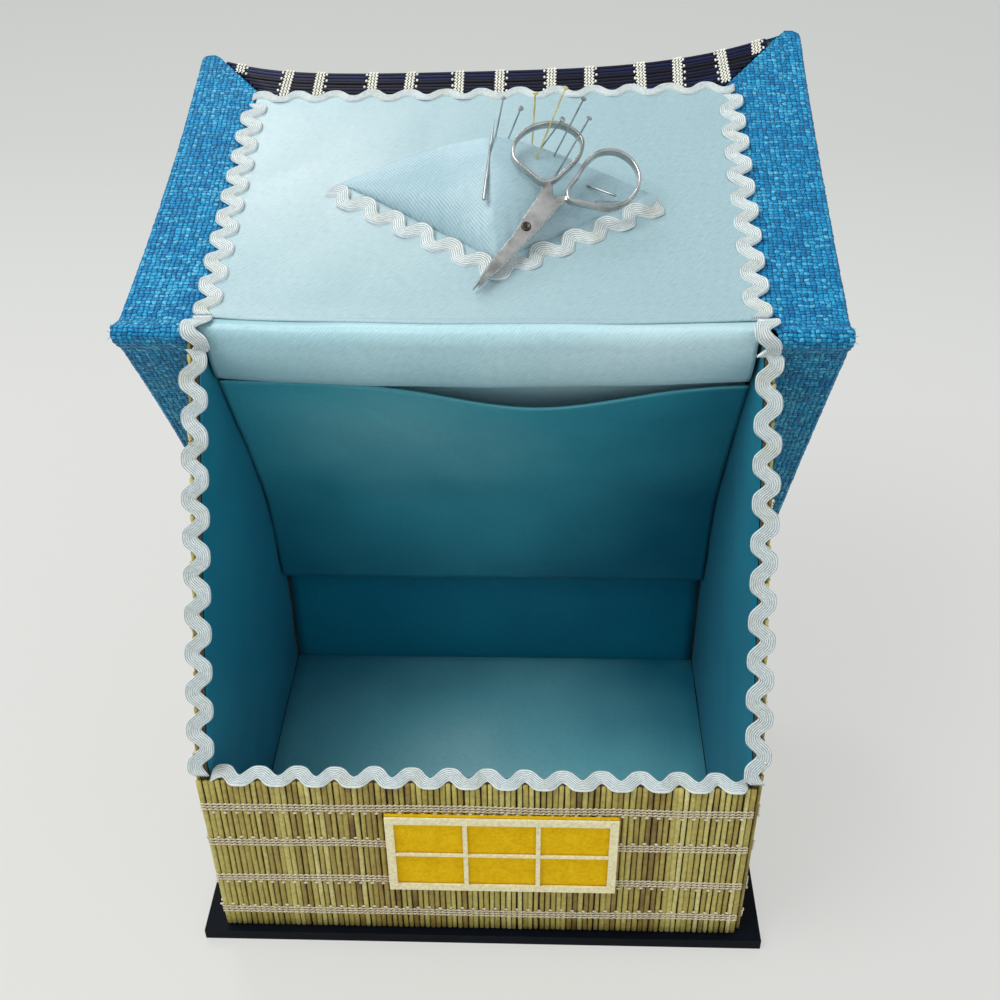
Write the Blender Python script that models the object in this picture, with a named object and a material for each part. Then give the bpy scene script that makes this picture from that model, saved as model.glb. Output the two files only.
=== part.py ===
"""Sewing box in the shape of a small steep-roofed house.

Card boards are covered outside with woven rush mat and lined with satin. The front
half of the roof is the lid: it is hinged in cloth along the ridge and is shown thrown
back. The origin is the centre of the base's underside, +Z is up, and -Y is the front.
Lengths are in metres.
"""
import math

import bmesh
import bpy
from mathutils import Matrix, Vector

MM = 0.001

# House walls and base
WALL_WIDTH = 190.0 * MM
WALL_DEPTH = 148.0 * MM
WALL_HEIGHT = 82.0 * MM
RIDGE_HEIGHT = 212.0 * MM
BASE_WIDTH = 205.0 * MM
BASE_DEPTH = 154.0 * MM
BASE_THICK = 4.5 * MM
GAP = 0.3 * MM

# Layers of a covered board
MAT_THICK = 1.4 * MM
BOARD_THICK = 2.0 * MM
LINING_THICK = 0.8 * MM
FLOOR_PAD_THICK = 3.7 * MM
SATIN_PANEL_THICK = 1.6 * MM
RAFFIA_THICK = 0.9 * MM

# Roof outline: both roof halves have drawn-in edges and pointed eave corners
ROOF_OVERHANG = 23.0 * MM
RIDGE_SPREAD = 2.0 * MM
ROOF_HALF_AT_TIP = WALL_WIDTH / 2 + ROOF_OVERHANG
ROOF_HALF_AT_RIDGE = ROOF_HALF_AT_TIP + RIDGE_SPREAD
ROOF_SIDE_DRAW = 3.0 * MM
SLOPE_LENGTH = math.hypot(RIDGE_HEIGHT - WALL_HEIGHT, WALL_DEPTH / 2)
EAVE_OVERHANG = 2.4 * MM
ROOF_EAVE_MIDDLE = SLOPE_LENGTH + EAVE_OVERHANG
ROOF_EAVE_DROP = 10.0 * MM
ROOF_EAVE_TIP = ROOF_EAVE_MIDDLE + ROOF_EAVE_DROP
EAVE_POWER = 3.5
VERGE_LAP = 13.0 * MM
VERGE_INNER = ROOF_HALF_AT_TIP - VERGE_LAP
ROOF_BACK_TOP = 1.0 * MM
BACK_MAT_TOP = 8.3 * MM

# Lid: its pivot lies on the nose of the hinge cloth, just in front of the ridge
PIVOT_FORWARD = 2.5 * MM
PIVOT_RISE = 0.2 * MM
LID_OPEN_DEG = 17.5
LID_START = 10.0 * MM
HINGE_TO_LID_FACE = 1.15 * MM
PANEL_INSET = 5.0 * MM
PANEL_HALF_WIDTH = WALL_WIDTH / 2 - PANEL_INSET
EAVE_STRIP_WIDTH = 22.0 * MM
PANEL_REACH = ROOF_EAVE_MIDDLE - EAVE_STRIP_WIDTH
MITRE_SPREAD = 14.5 * MM
MITRE_HALF_WIDTH = PANEL_HALF_WIDTH + MITRE_SPREAD
MITRE_SHORT = 3.0 * MM

# Rick-rack braid
BRAID_WAVE = 12.6 * MM
BRAID_SWING = 1.9 * MM
BRAID_WIDTH = 5.0 * MM
BRAID_THICK = 1.1 * MM
BRAID_STEPS = 6

# Heights for which the cloth profiles below are drawn, and how far the ridge carries them
DRAWN_RIDGE = 212.0 * MM
DRAWN_WALL = 82.0 * MM
RIDGE_ZONE = 22.0 * MM

# Pocket on the inside of the back roof: its front face in Y and Z, from the top down
POCKET_LINE_MM = (
    (10.98, 187.87),
    (21.0, 169.3),
    (34.7, 144.3),
    (42.7, 128.0),
    (51.0, 109.0),
    (54.2, 96.0),
    (56.3, 82.0),
    (58.5, 70.0),
    (61.0, 62.0),
    (64.0, 60.4),
    (68.3, 59.8),
)
POCKET_SHEET = 1.0 * MM
POCKET_BOW = 6.5 * MM
POCKET_DIP = 6.0 * MM
POCKET_BOW_CENTRE = 18.0 * MM
POCKET_BOW_SPREAD = 42.0 * MM

# Satin flap over the ridge, in Y and Z: its middle line halfway along, then at its ends
FLAP_MIDDLE_MM = (
    (7.2, 213.6),
    (4.2, 214.3),
    (0.8, 214.6),
    (-1.6, 213.6),
    (-2.8, 211.2),
    (-2.7, 207.0),
    (-2.1, 202.5),
    (-1.0, 198.0),
    (0.8, 194.0),
    (3.4, 191.0),
    (6.8, 189.4),
    (10.0, 189.7),
    (11.4, 189.8),
    (12.6, 188.67),
    (17.3, 180.4),
    (38.1, 143.9),
)
FLAP_ENDS_MM = (
    (7.2, 213.6),
    (4.6, 213.9),
    (2.2, 214.1),
    (0.7, 213.6),
    (0.1, 212.4),
    (0.0, 207.6),
    (0.5, 203.6),
    (1.6, 200.0),
    (3.4, 196.4),
    (5.4, 193.2),
    (8.0, 190.9),
    (10.2, 190.0),
    (11.4, 189.8),
    (12.6, 188.67),
    (17.3, 180.4),
    (38.1, 143.9),
)
FLAP_WIDE = 94.8 * MM
FLAP_NARROW = 89.2 * MM
FLAP_WIDE_STATIONS = 4

# Raffia folded round the nose, in Y and Z, and the rush cloth in the valley behind it,
# down the back slope and out from it
FOLD_LINE_MM = (
    (7.4, 212.9),
    (3.2, 213.7),
    (-0.4, 214.4),
    (-2.2, 213.4),
    (-2.5, 211.3),
    (-1.2, 209.3),
    (1.4, 206.9),
    (4.4, 203.3),
)
VALLEY_LINE_MM = (
    (6.37, 5.93),
    (5.03, 5.19),
    (3.12, 4.67),
    (1.89, 4.33),
    (1.23, 3.67),
    (1.73, 3.04),
    (2.98, 3.02),
    (7.37, 3.05),
)
VALLEY_THICK = 0.6 * MM

# Window on the front wall
WINDOW_WIDTH = 80.0 * MM
WINDOW_HEIGHT = 38.0 * MM
WINDOW_CENTRE_X = 7.9 * MM
WINDOW_CENTRE_Z = 49.2 * MM
WINDOW_BORDER = 3.0 * MM
MUNTIN_WIDE = 1.6 * MM
MUNTIN_THIN = 1.1 * MM
FELT_THICK = 1.2 * MM
FRAME_THICK = 0.8 * MM

# Pincushion: a stuffed triangle of satin on the lid's panel
CUSHION_LEFT_X = -53.0 * MM
CUSHION_LEFT_DOWN = 78.3 * MM
CUSHION_RIGHT_X = 58.0 * MM
CUSHION_RIGHT_DOWN = 70.3 * MM
CUSHION_POINT_X = 5.0 * MM
CUSHION_POINT_DOWN = 36.3 * MM
CUSHION_LEFT = Vector((CUSHION_LEFT_X, CUSHION_LEFT_DOWN))
CUSHION_RIGHT = Vector((CUSHION_RIGHT_X, CUSHION_RIGHT_DOWN))
CUSHION_POINT = Vector((CUSHION_POINT_X, CUSHION_POINT_DOWN))
CUSHION_CREST_PUSH = 13.0 * MM
CUSHION_HEIGHT = 18.5 * MM
CUSHION_CROWN_POWER = 1.2
CUSHION_COLUMNS = 28
CUSHION_ROWS = 9

# Scissors: the plane they lie in, and their outlines across and along it
RIVET_X = 14.2 * MM
RIVET_DOWN = 43.8 * MM
RIVET_RISE = 7.6 * MM
RIVET_PLACE = Vector((RIVET_X, RIVET_DOWN, RIVET_RISE))
SCISSORS_ALONG = Vector((0.506, 0.834, 0.221))
SCISSORS_ACROSS = Vector((0.853, -0.444, -0.275))
BLADE_THICK = 1.1 * MM
UPPER_HALF_MM = (
    (-1.3, -28.1),
    (1.2, -17.6),
    (2.8, -6.8),
    (4.1, 1.7),
    (4.8, 8.0),
    (5.0, 13.2),
    (1.4, 15.3),
    (-0.9, 19.4),
    (-2.3, 17.9),
    (-4.4, 17.3),
    (-3.0, 15.0),
    (-2.8, 7.8),
    (-2.6, 0.7),
    (-2.2, -4.8),
    (-3.2, -17.6),
)
LOWER_HALF_MM = (
    (-2.7, -29.2),
    (0.6, -15.0),
    (1.9, -5.0),
    (2.1, 2.0),
    (3.2, 9.0),
    (4.1, 13.0),
    (5.8, 16.2),
    (6.4, 18.3),
    (4.4, 18.4),
    (2.6, 17.2),
    (0.6, 12.0),
    (-1.8, 4.0),
    (-2.0, -3.0),
    (-2.6, -8.0),
    (-3.4, -19.0),
)
LEFT_LOOP_MM = (
    (-3.2, 17.3),
    (-10.6, 17.6),
    (-17.0, 19.4),
    (-19.6, 24.3),
    (-19.0, 30.9),
    (-15.5, 36.3),
    (-10.6, 39.6),
    (-5.5, 40.2),
    (-1.4, 38.8),
    (1.1, 34.0),
    (1.1, 30.0),
    (0.1, 24.4),
    (-1.1, 19.9),
)
RIGHT_LOOP_MM = (
    (4.9, 19.0),
    (4.5, 26.5),
    (4.4, 33.7),
    (6.2, 39.1),
    (10.9, 42.6),
    (17.0, 42.4),
    (21.9, 39.0),
    (24.1, 34.0),
    (23.4, 27.4),
    (20.2, 22.8),
    (15.0, 20.2),
    (9.3, 18.0),
    (6.6, 17.1),
)
LOOP_STRAP = 1.0 * MM
LOOP_DEPTH = 4.4 * MM
LOOP_LIFT = 1.2 * MM
RIVET_RADIUS = 0.6 * MM
RIVET_HEAD_RADIUS = 1.7 * MM
RIVET_HEAD_THICK = 0.5 * MM

# Pins and needles: head, then where each goes into the cushion, in the lid's frame
PINS_MM = (
    ((6.0, 85.3, 29.0), (3.5, 82.5, 17.0)),
    ((12.0, 78.8, 29.5), (8.0, 81.0, 16.5)),
    ((17.0, 87.6, 29.0), (16.0, 80.5, 14.5)),
    ((27.0, 83.7, 33.8), (17.0, 72.5, 12.5)),
    ((26.0, 73.3, 29.0), (19.5, 79.5, 13.5)),
    ((33.0, 77.0, 34.3), (24.0, 76.5, 12.5)),
    ((35.0, 74.3, 28.5), (24.5, 67.5, 11.0)),
)
PIN_DEPTH = 5.0 * MM
NEEDLES_MM = (
    ((2.8, 87.6, 19.6), (0.0, 52.6, 12.4)),
    ((45.0, 61.3, 6.6), (31.5, 69.6, 6.0)),
    ((38.0, 60.3, 5.2), (47.5, 65.3, 0.9)),
)
PIN_RADIUS = 0.36 * MM
PIN_HEAD_RADIUS = 0.95 * MM
PIN_HEAD_THICK = 0.8 * MM
NEEDLE_RADIUS = 0.55 * MM
PIN_SIDES = 6

# Worked-out places
SLOPE = math.atan2(RIDGE_HEIGHT - WALL_HEIGHT, WALL_DEPTH / 2)
FLOOR_LEVEL = BASE_THICK + GAP
OUTER_X = WALL_WIDTH / 2
OUTER_Y = WALL_DEPTH / 2
BOARD_X = OUTER_X - MAT_THICK - GAP
BOARD_Y = OUTER_Y - MAT_THICK - GAP
LINING_X = BOARD_X - BOARD_THICK - GAP
LINING_Y = BOARD_Y - BOARD_THICK - GAP
INNER_X = LINING_X - LINING_THICK
INNER_Y = LINING_Y - LINING_THICK
LID_FACE = -HINGE_TO_LID_FACE

# Colours: base colour, roughness, metallic
FINISHES = {
    "navy_card": ((0.004, 0.008, 0.030), 0.75, 0.0),
    "grey_card": ((0.35, 0.32, 0.27), 0.9, 0.0),
    "rush": ((0.36, 0.30, 0.14), 0.7, 0.0),
    "navy_rush": ((0.006, 0.012, 0.045), 0.6, 0.0),
    "raffia": ((0.035, 0.25, 0.55), 0.6, 0.0),
    "satin": ((0.28, 0.52, 0.58), 0.35, 0.0),
    "braid": ((0.70, 0.76, 0.76), 0.6, 0.0),
    "felt": ((0.62, 0.38, 0.02), 0.95, 0.0),
    "cream_paper": ((0.80, 0.74, 0.42), 0.8, 0.0),
    "steel": ((0.55, 0.54, 0.52), 0.35, 1.0),
}


def finish(name):
    """Return the shared material of that name, made once."""
    found = bpy.data.materials.get(name)
    if found:
        return found
    colour, roughness, metallic = FINISHES[name]
    made = bpy.data.materials.new(name)
    made.use_nodes = True
    shader = made.node_tree.nodes["Principled BSDF"]
    shader.inputs["Base Color"].default_value = (*colour, 1.0)
    shader.inputs["Roughness"].default_value = roughness
    shader.inputs["Metallic"].default_value = metallic
    made.diffuse_color = (*colour, 1.0)
    return made


def own_material(piece, name):
    """Give the piece its own copy of a finish, named after the piece."""
    made = finish(name).copy()
    made.name = piece.name + "_finish"
    piece.data.materials.append(made)


def place(name, mesh, look, carrier=None):
    """Put a mesh in the scene as a named piece on its carrier."""
    piece = bpy.data.objects.new(name, mesh)
    bpy.context.scene.collection.objects.link(piece)
    if carrier:
        piece.parent = carrier
    own_material(piece, look)
    return piece


def frame_empty(name, location, turn):
    """Add an empty that carries pieces built in its own flat frame."""
    empty = bpy.data.objects.new(name, None)
    empty.location = location
    empty.rotation_euler = turn
    bpy.context.scene.collection.objects.link(empty)
    return empty


def plate(name, outline, low, thick, look, carrier=None, upright=None):
    """Extrude a flat outline. upright is "x" or "y" for a board that stands."""
    bm = bmesh.new()
    corners = []
    for a, b in outline:
        if upright == "x":
            corners.append(bm.verts.new((low, a, b)))
        elif upright == "y":
            corners.append(bm.verts.new((a, low, b)))
        else:
            corners.append(bm.verts.new((a, b, low)))
    face = bm.faces.new(corners)
    shift = {"x": (thick, 0, 0), "y": (0, thick, 0)}.get(upright, (0, 0, thick))
    grown = bmesh.ops.extrude_face_region(bm, geom=[face])
    moved = [item for item in grown["geom"] if isinstance(item, bmesh.types.BMVert)]
    bmesh.ops.translate(bm, vec=shift, verts=moved)
    bmesh.ops.recalc_face_normals(bm, faces=bm.faces)
    mesh = bpy.data.meshes.new(name)
    bm.to_mesh(mesh)
    bm.free()
    return place(name, mesh, look, carrier)


def block(name, low, high, look):
    """A plain board between two corners."""
    outline = [(low[0], low[1]), (high[0], low[1]), (high[0], high[1]), (low[0], high[1])]
    return plate(name, outline, low[2], high[2] - low[2], look)


def sheet(name, rows, thick, look, carrier=None, side=0.0, ring=False):
    """Skin rows of points and thicken them. side: -1 below the faces, 0 centred, 1 above."""
    bm = bmesh.new()
    grid = [[bm.verts.new(point) for point in row] for row in rows]
    following = grid[1:] + ([grid[0]] if ring else [])
    for row, after in zip(grid, following):
        for k in range(len(row) - 1):
            bm.faces.new((row[k], row[k + 1], after[k + 1], after[k]))
    mesh = bpy.data.meshes.new(name)
    bm.to_mesh(mesh)
    bm.free()
    piece = place(name, mesh, look, carrier)
    thicken = piece.modifiers.new("thickness", "SOLIDIFY")
    thicken.thickness = thick
    thicken.offset = side
    thicken.use_even_offset = True
    return piece


def shares(count):
    """Evenly spaced shares from 0 to 1."""
    return [k / (count - 1) for k in range(count)]


def mixed(low, high, share):
    """The value at a share of the way between two values."""
    return low + (high - low) * share


def bump(x, centre, spread):
    """A smooth swell of height 1 at its centre."""
    return math.exp(-((x - centre) / spread) ** 2)


def roof_half_width(down):
    """Half the roof's width at a distance down from the ridge."""
    share = down / ROOF_EAVE_TIP
    drawn = ROOF_SIDE_DRAW * 4.0 * share * (1.0 - share)
    return mixed(ROOF_HALF_AT_RIDGE, ROOF_HALF_AT_TIP, share) - drawn


def eave_reach(x):
    """How far down the roof its eave lies at x."""
    share = min(1.0, abs(x) / ROOF_HALF_AT_TIP)
    return mixed(ROOF_EAVE_MIDDLE, ROOF_EAVE_TIP, share ** EAVE_POWER)


def eave_x(down):
    """The x at which the eave lies that far down."""
    share = (down - ROOF_EAVE_MIDDLE) / (ROOF_EAVE_TIP - ROOF_EAVE_MIDDLE)
    return ROOF_HALF_AT_TIP * max(share, 0.0) ** (1.0 / EAVE_POWER)


def roof_outline(top, side_inset, eave_inset, half_limit=None):
    """Outline of a roof layer, drawn in from the roof's own edge."""
    outline = []
    corner_down = eave_reach(ROOF_HALF_AT_TIP - side_inset) - eave_inset

    def half_at(down):
        half = roof_half_width(down) - side_inset
        return min(half, half_limit) if half_limit else half

    for share in shares(7):
        down = mixed(top, corner_down, share)
        outline.append((half_at(down), down))
    corner_half = outline[-1][0]
    for share in shares(17)[1:-1]:
        x = mixed(corner_half, -corner_half, share)
        outline.append((x, eave_reach(x) - eave_inset))
    for share in reversed(shares(7)):
        down = mixed(top, corner_down, share)
        outline.append((-half_at(down), down))
    return outline


def gable_outline(half_depth, bottom):
    """A gable's five corners, in Y and Z, cut by both roof slopes."""
    shoulder = RIDGE_HEIGHT - half_depth * math.tan(SLOPE)
    return [
        (-half_depth, bottom),
        (half_depth, bottom),
        (half_depth, shoulder),
        (0.0, RIDGE_HEIGHT),
        (-half_depth, shoulder),
    ]


def build_base_and_walls():
    """The base, four walls, each a board with a mat outside and a lining inside."""
    half_base = (BASE_WIDTH / 2, BASE_DEPTH / 2)
    block("base_board", (-half_base[0], -half_base[1], 0.0), (*half_base, BASE_THICK), "navy_card")
    for side, name in ((-1, "front"), (1, "back")):
        layers = (
            ("wall_mat", OUTER_X, OUTER_Y, MAT_THICK, "rush"),
            ("wall_board", LINING_X, BOARD_Y, BOARD_THICK, "grey_card"),
            ("lining", INNER_X - GAP, LINING_Y, LINING_THICK, "satin"),
        )
        for layer, half, face, thick, look in layers:
            near, far = sorted((side * face, side * (face - thick)))
            block(f"{name}_{layer}", (-half, near, FLOOR_LEVEL), (half, far, WALL_HEIGHT), look)
    for side, name in ((-1, "left"), (1, "right")):
        layers = (
            ("gable_mat", OUTER_X, BOARD_Y, MAT_THICK, "rush"),
            ("gable_board", BOARD_X, BOARD_Y, BOARD_THICK, "grey_card"),
            ("lining", LINING_X, LINING_Y, LINING_THICK, "satin"),
        )
        for layer, face, half, thick, look in layers:
            near = min(side * face, side * (face - thick))
            outline = gable_outline(half, FLOOR_LEVEL)
            plate(f"{name}_{layer}", outline, near, thick, look, upright="x")
    pad_half = (INNER_X - GAP, INNER_Y - GAP)
    top = FLOOR_LEVEL + FLOOR_PAD_THICK
    block("floor_lining", (-pad_half[0], -pad_half[1], FLOOR_LEVEL), (*pad_half, top), "satin")


def build_window():
    """A felt window with a paper frame of two by three panes, on the front mat."""
    half = (WINDOW_WIDTH / 2, WINDOW_HEIGHT / 2)
    x_low = WINDOW_CENTRE_X - half[0]
    z_low = WINDOW_CENTRE_Z - half[1]
    felt_face = -OUTER_Y - GAP
    low = (x_low, felt_face - FELT_THICK, z_low)
    high = (x_low + WINDOW_WIDTH, felt_face, z_low + WINDOW_HEIGHT)
    block("window_felt", low, high, "felt")
    pane_wide = (WINDOW_WIDTH - 2 * WINDOW_BORDER - 2 * MUNTIN_WIDE) / 3
    pane_tall = (WINDOW_HEIGHT - 2 * WINDOW_BORDER - MUNTIN_THIN) / 2
    columns = [0.0, WINDOW_BORDER]
    for _ in range(2):
        columns += [columns[-1] + pane_wide, columns[-1] + pane_wide + MUNTIN_WIDE]
    columns += [columns[-1] + pane_wide, WINDOW_WIDTH]
    levels = [0.0, WINDOW_BORDER, WINDOW_BORDER + pane_tall]
    levels += [levels[-1] + MUNTIN_THIN, WINDOW_HEIGHT - WINDOW_BORDER, WINDOW_HEIGHT]
    face = felt_face - FELT_THICK - GAP
    bm = bmesh.new()
    grid = [[bm.verts.new((x_low + x, face, z_low + z)) for z in levels] for x in columns]
    for i in range(len(columns) - 1):
        for j in range(len(levels) - 1):
            if i % 2 == 1 and j % 2 == 1:
                continue
            bm.faces.new((grid[i][j], grid[i + 1][j], grid[i + 1][j + 1], grid[i][j + 1]))
    mesh = bpy.data.meshes.new("window_frame")
    bm.to_mesh(mesh)
    bm.free()
    frame = place("window_frame", mesh, "cream_paper")
    thicken = frame.modifiers.new("thickness", "SOLIDIFY")
    thicken.thickness = FRAME_THICK
    thicken.offset = 1.0


def mitre_bottom():
    """How far down the lid the mitre between raffia and rush ends."""
    return eave_reach(MITRE_HALF_WIDTH + GAP) - MITRE_SHORT


def verge_inner_x(down):
    """Inner edge of the lid's raffia border: straight, then mitred to the eave."""
    if down <= PANEL_REACH:
        return PANEL_HALF_WIDTH + GAP
    if down <= mitre_bottom():
        share = (down - PANEL_REACH) / (mitre_bottom() - PANEL_REACH)
        return mixed(PANEL_HALF_WIDTH + GAP, MITRE_HALF_WIDTH + GAP, share)
    return max(eave_x(down), MITRE_HALF_WIDTH + GAP)


def turned_edge(x):
    """How far down the lid the end of the mat's turned-in strip lies at x."""
    span = MITRE_HALF_WIDTH - PANEL_HALF_WIDTH
    beyond = max(0.0, abs(x) - PANEL_HALF_WIDTH - GAP) / span
    return mixed(PANEL_REACH, mitre_bottom(), beyond) + 3 * GAP


def verge_channel(name, side, downs, inner_x, levels, carrier):
    """A raffia border folded round the roof's side edge, as a channel."""
    face_level, back_level = levels
    rows = []
    for down in downs:
        edge = roof_half_width(down)
        inner = min(inner_x(down), edge - 2 * RAFFIA_THICK)
        lip = max(VERGE_INNER, min(inner, edge - 2 * RAFFIA_THICK))
        lip = min(lip, edge - 2 * RAFFIA_THICK)
        row = [
            (side * inner, down, face_level),
            (side * edge, down, face_level),
            (side * edge, down, back_level),
            (side * lip, down, back_level),
        ]
        rows.append(row)
    inward = -1.0 if (side > 0) == (face_level > back_level) else 1.0
    return sheet(name, rows, RAFFIA_THICK, "raffia", carrier, side=inward)


def build_back_roof(roof):
    """The fixed back half of the roof, built flat with its outer face up."""
    board_inset = RAFFIA_THICK + GAP
    mat_level = GAP + BOARD_THICK + GAP
    board_outline = roof_outline(ROOF_BACK_TOP, board_inset, board_inset)
    plate("back_roof_board", board_outline, GAP, BOARD_THICK, "grey_card", roof)
    mat_half = VERGE_INNER - GAP
    mat_outline = roof_outline(BACK_MAT_TOP, board_inset, board_inset, mat_half)
    plate("back_roof_mat", mat_outline, mat_level, MAT_THICK, "navy_rush", roof)
    last = ROOF_EAVE_TIP - 2 * board_inset
    downs = [mixed(LID_START, last, share) for share in shares(9)]
    levels = (-RAFFIA_THICK, mat_level + RAFFIA_THICK)
    for side, name in ((-1, "left_back_verge"), (1, "right_back_verge")):
        verge_channel(name, side, downs, lambda down: OUTER_X + GAP, levels, roof)


def build_lid(lid):
    """The lid, built flat in the pivot's frame with its inner face up."""
    panel_low = LID_FACE - SATIN_PANEL_THICK
    board_top = panel_low - GAP
    board_low = board_top - BOARD_THICK
    edge_inset = RAFFIA_THICK + GAP
    board_outline = roof_outline(LID_START, edge_inset, MAT_THICK + GAP)
    plate("lid_board", board_outline, board_low, BOARD_THICK, "grey_card", lid)
    corners = [
        (-PANEL_HALF_WIDTH, LID_START),
        (PANEL_HALF_WIDTH, LID_START),
        (PANEL_HALF_WIDTH, PANEL_REACH),
        (-PANEL_HALF_WIDTH, PANEL_REACH),
    ]
    plate("lid_satin_panel", corners, panel_low, SATIN_PANEL_THICK, "satin", lid)
    half_mat = MAT_THICK / 2
    mat_top = panel_low + half_mat
    mat_low = board_low - GAP - half_mat
    rows = []
    wing = [mixed(PANEL_HALF_WIDTH, MITRE_HALF_WIDTH, share) for share in shares(4)]
    middle = [mixed(-PANEL_HALF_WIDTH, PANEL_HALF_WIDTH, share) for share in shares(15)]
    for x in [-place for place in reversed(wing[1:])] + middle + wing[1:]:
        reach = eave_reach(x) - half_mat
        row = [
            (x, LID_START, mat_low),
            (x, reach, mat_low),
            (x, reach, mat_top),
            (x, min(turned_edge(x), reach - half_mat), mat_top),
        ]
        rows.append(row)
    sheet("lid_mat", rows, MAT_THICK, "navy_rush", lid)
    last = ROOF_EAVE_TIP - 2 * edge_inset
    downs = [mixed(LID_START, PANEL_REACH, share) for share in shares(6)]
    downs += [mixed(PANEL_REACH, mitre_bottom(), share) for share in shares(3)[1:]]
    downs += [mixed(mitre_bottom(), last, share) for share in shares(5)[1:]]
    levels = (panel_low + RAFFIA_THICK, board_low - GAP - RAFFIA_THICK)
    for side, name in ((-1, "left_lid_verge"), (1, "right_lid_verge")):
        verge_channel(name, side, downs, verge_inner_x, levels, lid)


def rickrack(name, start, end, level, carrier=None, joined=None):
    """A wavy braid laid flat from start to end, or on through a third corner."""
    runs = [(start, end)]
    if joined:
        runs.append((end, joined))
    rows = []
    for number, (first, last) in enumerate(runs):
        along = last - first
        waves = max(1, round(along.length / BRAID_WAVE))
        across = Vector((-along.y, along.x)).normalized()
        steps = waves * BRAID_STEPS
        first_step = 1 if number else 0
        for k in range(first_step, steps + 1):
            phase = 2.0 * math.pi * k / BRAID_STEPS
            slope = BRAID_SWING * 2.0 * math.pi * waves / along.length * math.cos(phase)
            spread = BRAID_WIDTH / 2 * math.hypot(1.0, slope)
            middle = first + along * (k / steps) + across * (BRAID_SWING * math.sin(phase))
            edge = across * spread
            row = [(*(middle - edge), level), (*(middle + edge), level)]
            rows.append(row)
    return sheet(name, rows, BRAID_THICK, "braid", carrier, side=-1.0)


def build_rim_braid(front_slope):
    """Braid on the two front slopes of the gables and on the front wall's top."""
    line_x = (OUTER_X + INNER_X) / 2
    top = LID_START / 2
    bottom = SLOPE_LENGTH - BRAID_WIDTH / 2
    for side, name in ((-1, "left_rim_rickrack"), (1, "right_rim_rickrack")):
        x = -side * line_x
        start = Vector((x, top))
        end = Vector((x, bottom))
        rickrack(name, end, start, GAP, front_slope)
    line_y = -(OUTER_Y + INNER_Y) / 2
    start = Vector((-INNER_X + GAP, line_y))
    end = Vector((INNER_X - GAP, line_y))
    rickrack("front_rim_rickrack", end, start, WALL_HEIGHT + GAP)


def build_lid_braid(lid):
    """Braid round three sides of the lid's satin panel."""
    level = LID_FACE + GAP
    half = PANEL_HALF_WIDTH
    clear = BRAID_SWING + BRAID_WIDTH / 2 + GAP
    side_end = PANEL_REACH - clear
    for side, name in ((-1, "lid_left_rickrack"), (1, "lid_right_rickrack")):
        start = Vector((side * half, LID_START + GAP))
        end = Vector((side * half, side_end))
        rickrack(name, end, start, level, lid)
    reach = PANEL_REACH
    left = Vector((-half - BRAID_SWING, reach))
    right = Vector((half + BRAID_SWING, reach))
    rickrack("lid_eave_rickrack", right, left, level, lid)


def roof_level(drawn):
    """A drawn level moved with the ridge near it, and with the roof slope lower down."""
    beside_ridge = RIDGE_HEIGHT + drawn - DRAWN_RIDGE
    if drawn <= DRAWN_WALL:
        return drawn
    rise_share = (RIDGE_HEIGHT - WALL_HEIGHT) / (DRAWN_RIDGE - DRAWN_WALL)
    on_slope = WALL_HEIGHT + (drawn - DRAWN_WALL) * rise_share
    depth = min(1.0, max(0.0, (DRAWN_RIDGE - drawn) / RIDGE_ZONE))
    return mixed(beside_ridge, on_slope, depth)


def side_line(line, x):
    """A profile given in millimetres in Y and Z, as points at x."""
    return [(x, y * MM, roof_level(z * MM)) for y, z in line]


def build_pocket():
    """The pocket's satin sheet, bowed and dipped at the middle of its top edge."""
    rows = []
    for share in shares(25):
        x = mixed(-INNER_X + GAP, INNER_X - GAP, share)
        swell = bump(x, POCKET_BOW_CENTRE, POCKET_BOW_SPREAD)
        row = []
        for number, (_, y, z) in enumerate(side_line(POCKET_LINE_MM, x)):
            ease = max(0.0, 1.0 - number / 3.0) ** 1.5 * swell
            y += (POCKET_DIP * math.cos(SLOPE) - POCKET_BOW * math.sin(SLOPE)) * ease
            z -= (POCKET_DIP * math.sin(SLOPE) + POCKET_BOW * math.cos(SLOPE)) * ease
            row.append((x, y, z))
        rows.append(row)
    sheet("pocket_panel", rows, POCKET_SHEET, "satin", side=-1.0)


def build_hinge_cloth(roof):
    """Everything that bends when the lid moves."""
    rows = []
    for share in shares(19):
        across = 2.0 * share - 1.0
        weight = across * across
        row = []
        for number, (mid, end) in enumerate(zip(FLAP_MIDDLE_MM, FLAP_ENDS_MM)):
            half = FLAP_WIDE if number < FLAP_WIDE_STATIONS else FLAP_NARROW
            y = mixed(mid[0], end[0], weight) * MM
            z = roof_level(mixed(mid[1], end[1], weight) * MM)
            row.append((half * across, y, z))
        rows.append(row)
    sheet("hinge_lining", rows, LINING_THICK, "satin")
    low = OUTER_X + GAP
    high = ROOF_HALF_AT_RIDGE - GAP
    for side, name in ((-1, "left_verge_fold"), (1, "right_verge_fold")):
        rows = [side_line(FOLD_LINE_MM, side * x) for x in (low, high)]
        sheet(name, rows, RAFFIA_THICK, "raffia")
    rows = []
    for x in (GAP - VERGE_INNER, VERGE_INNER - GAP):
        rows.append([(x, down * MM, out * MM) for down, out in VALLEY_LINE_MM])
    sheet("ridge_hinge", rows, VALLEY_THICK, "navy_rush", roof)


def cushion_height(share):
    """Height of the pincushion's ridge at a share of the way from left to right."""
    return CUSHION_HEIGHT * max(0.0, 1.0 - abs(2.0 * share - 1.0) ** CUSHION_CROWN_POWER)


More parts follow.
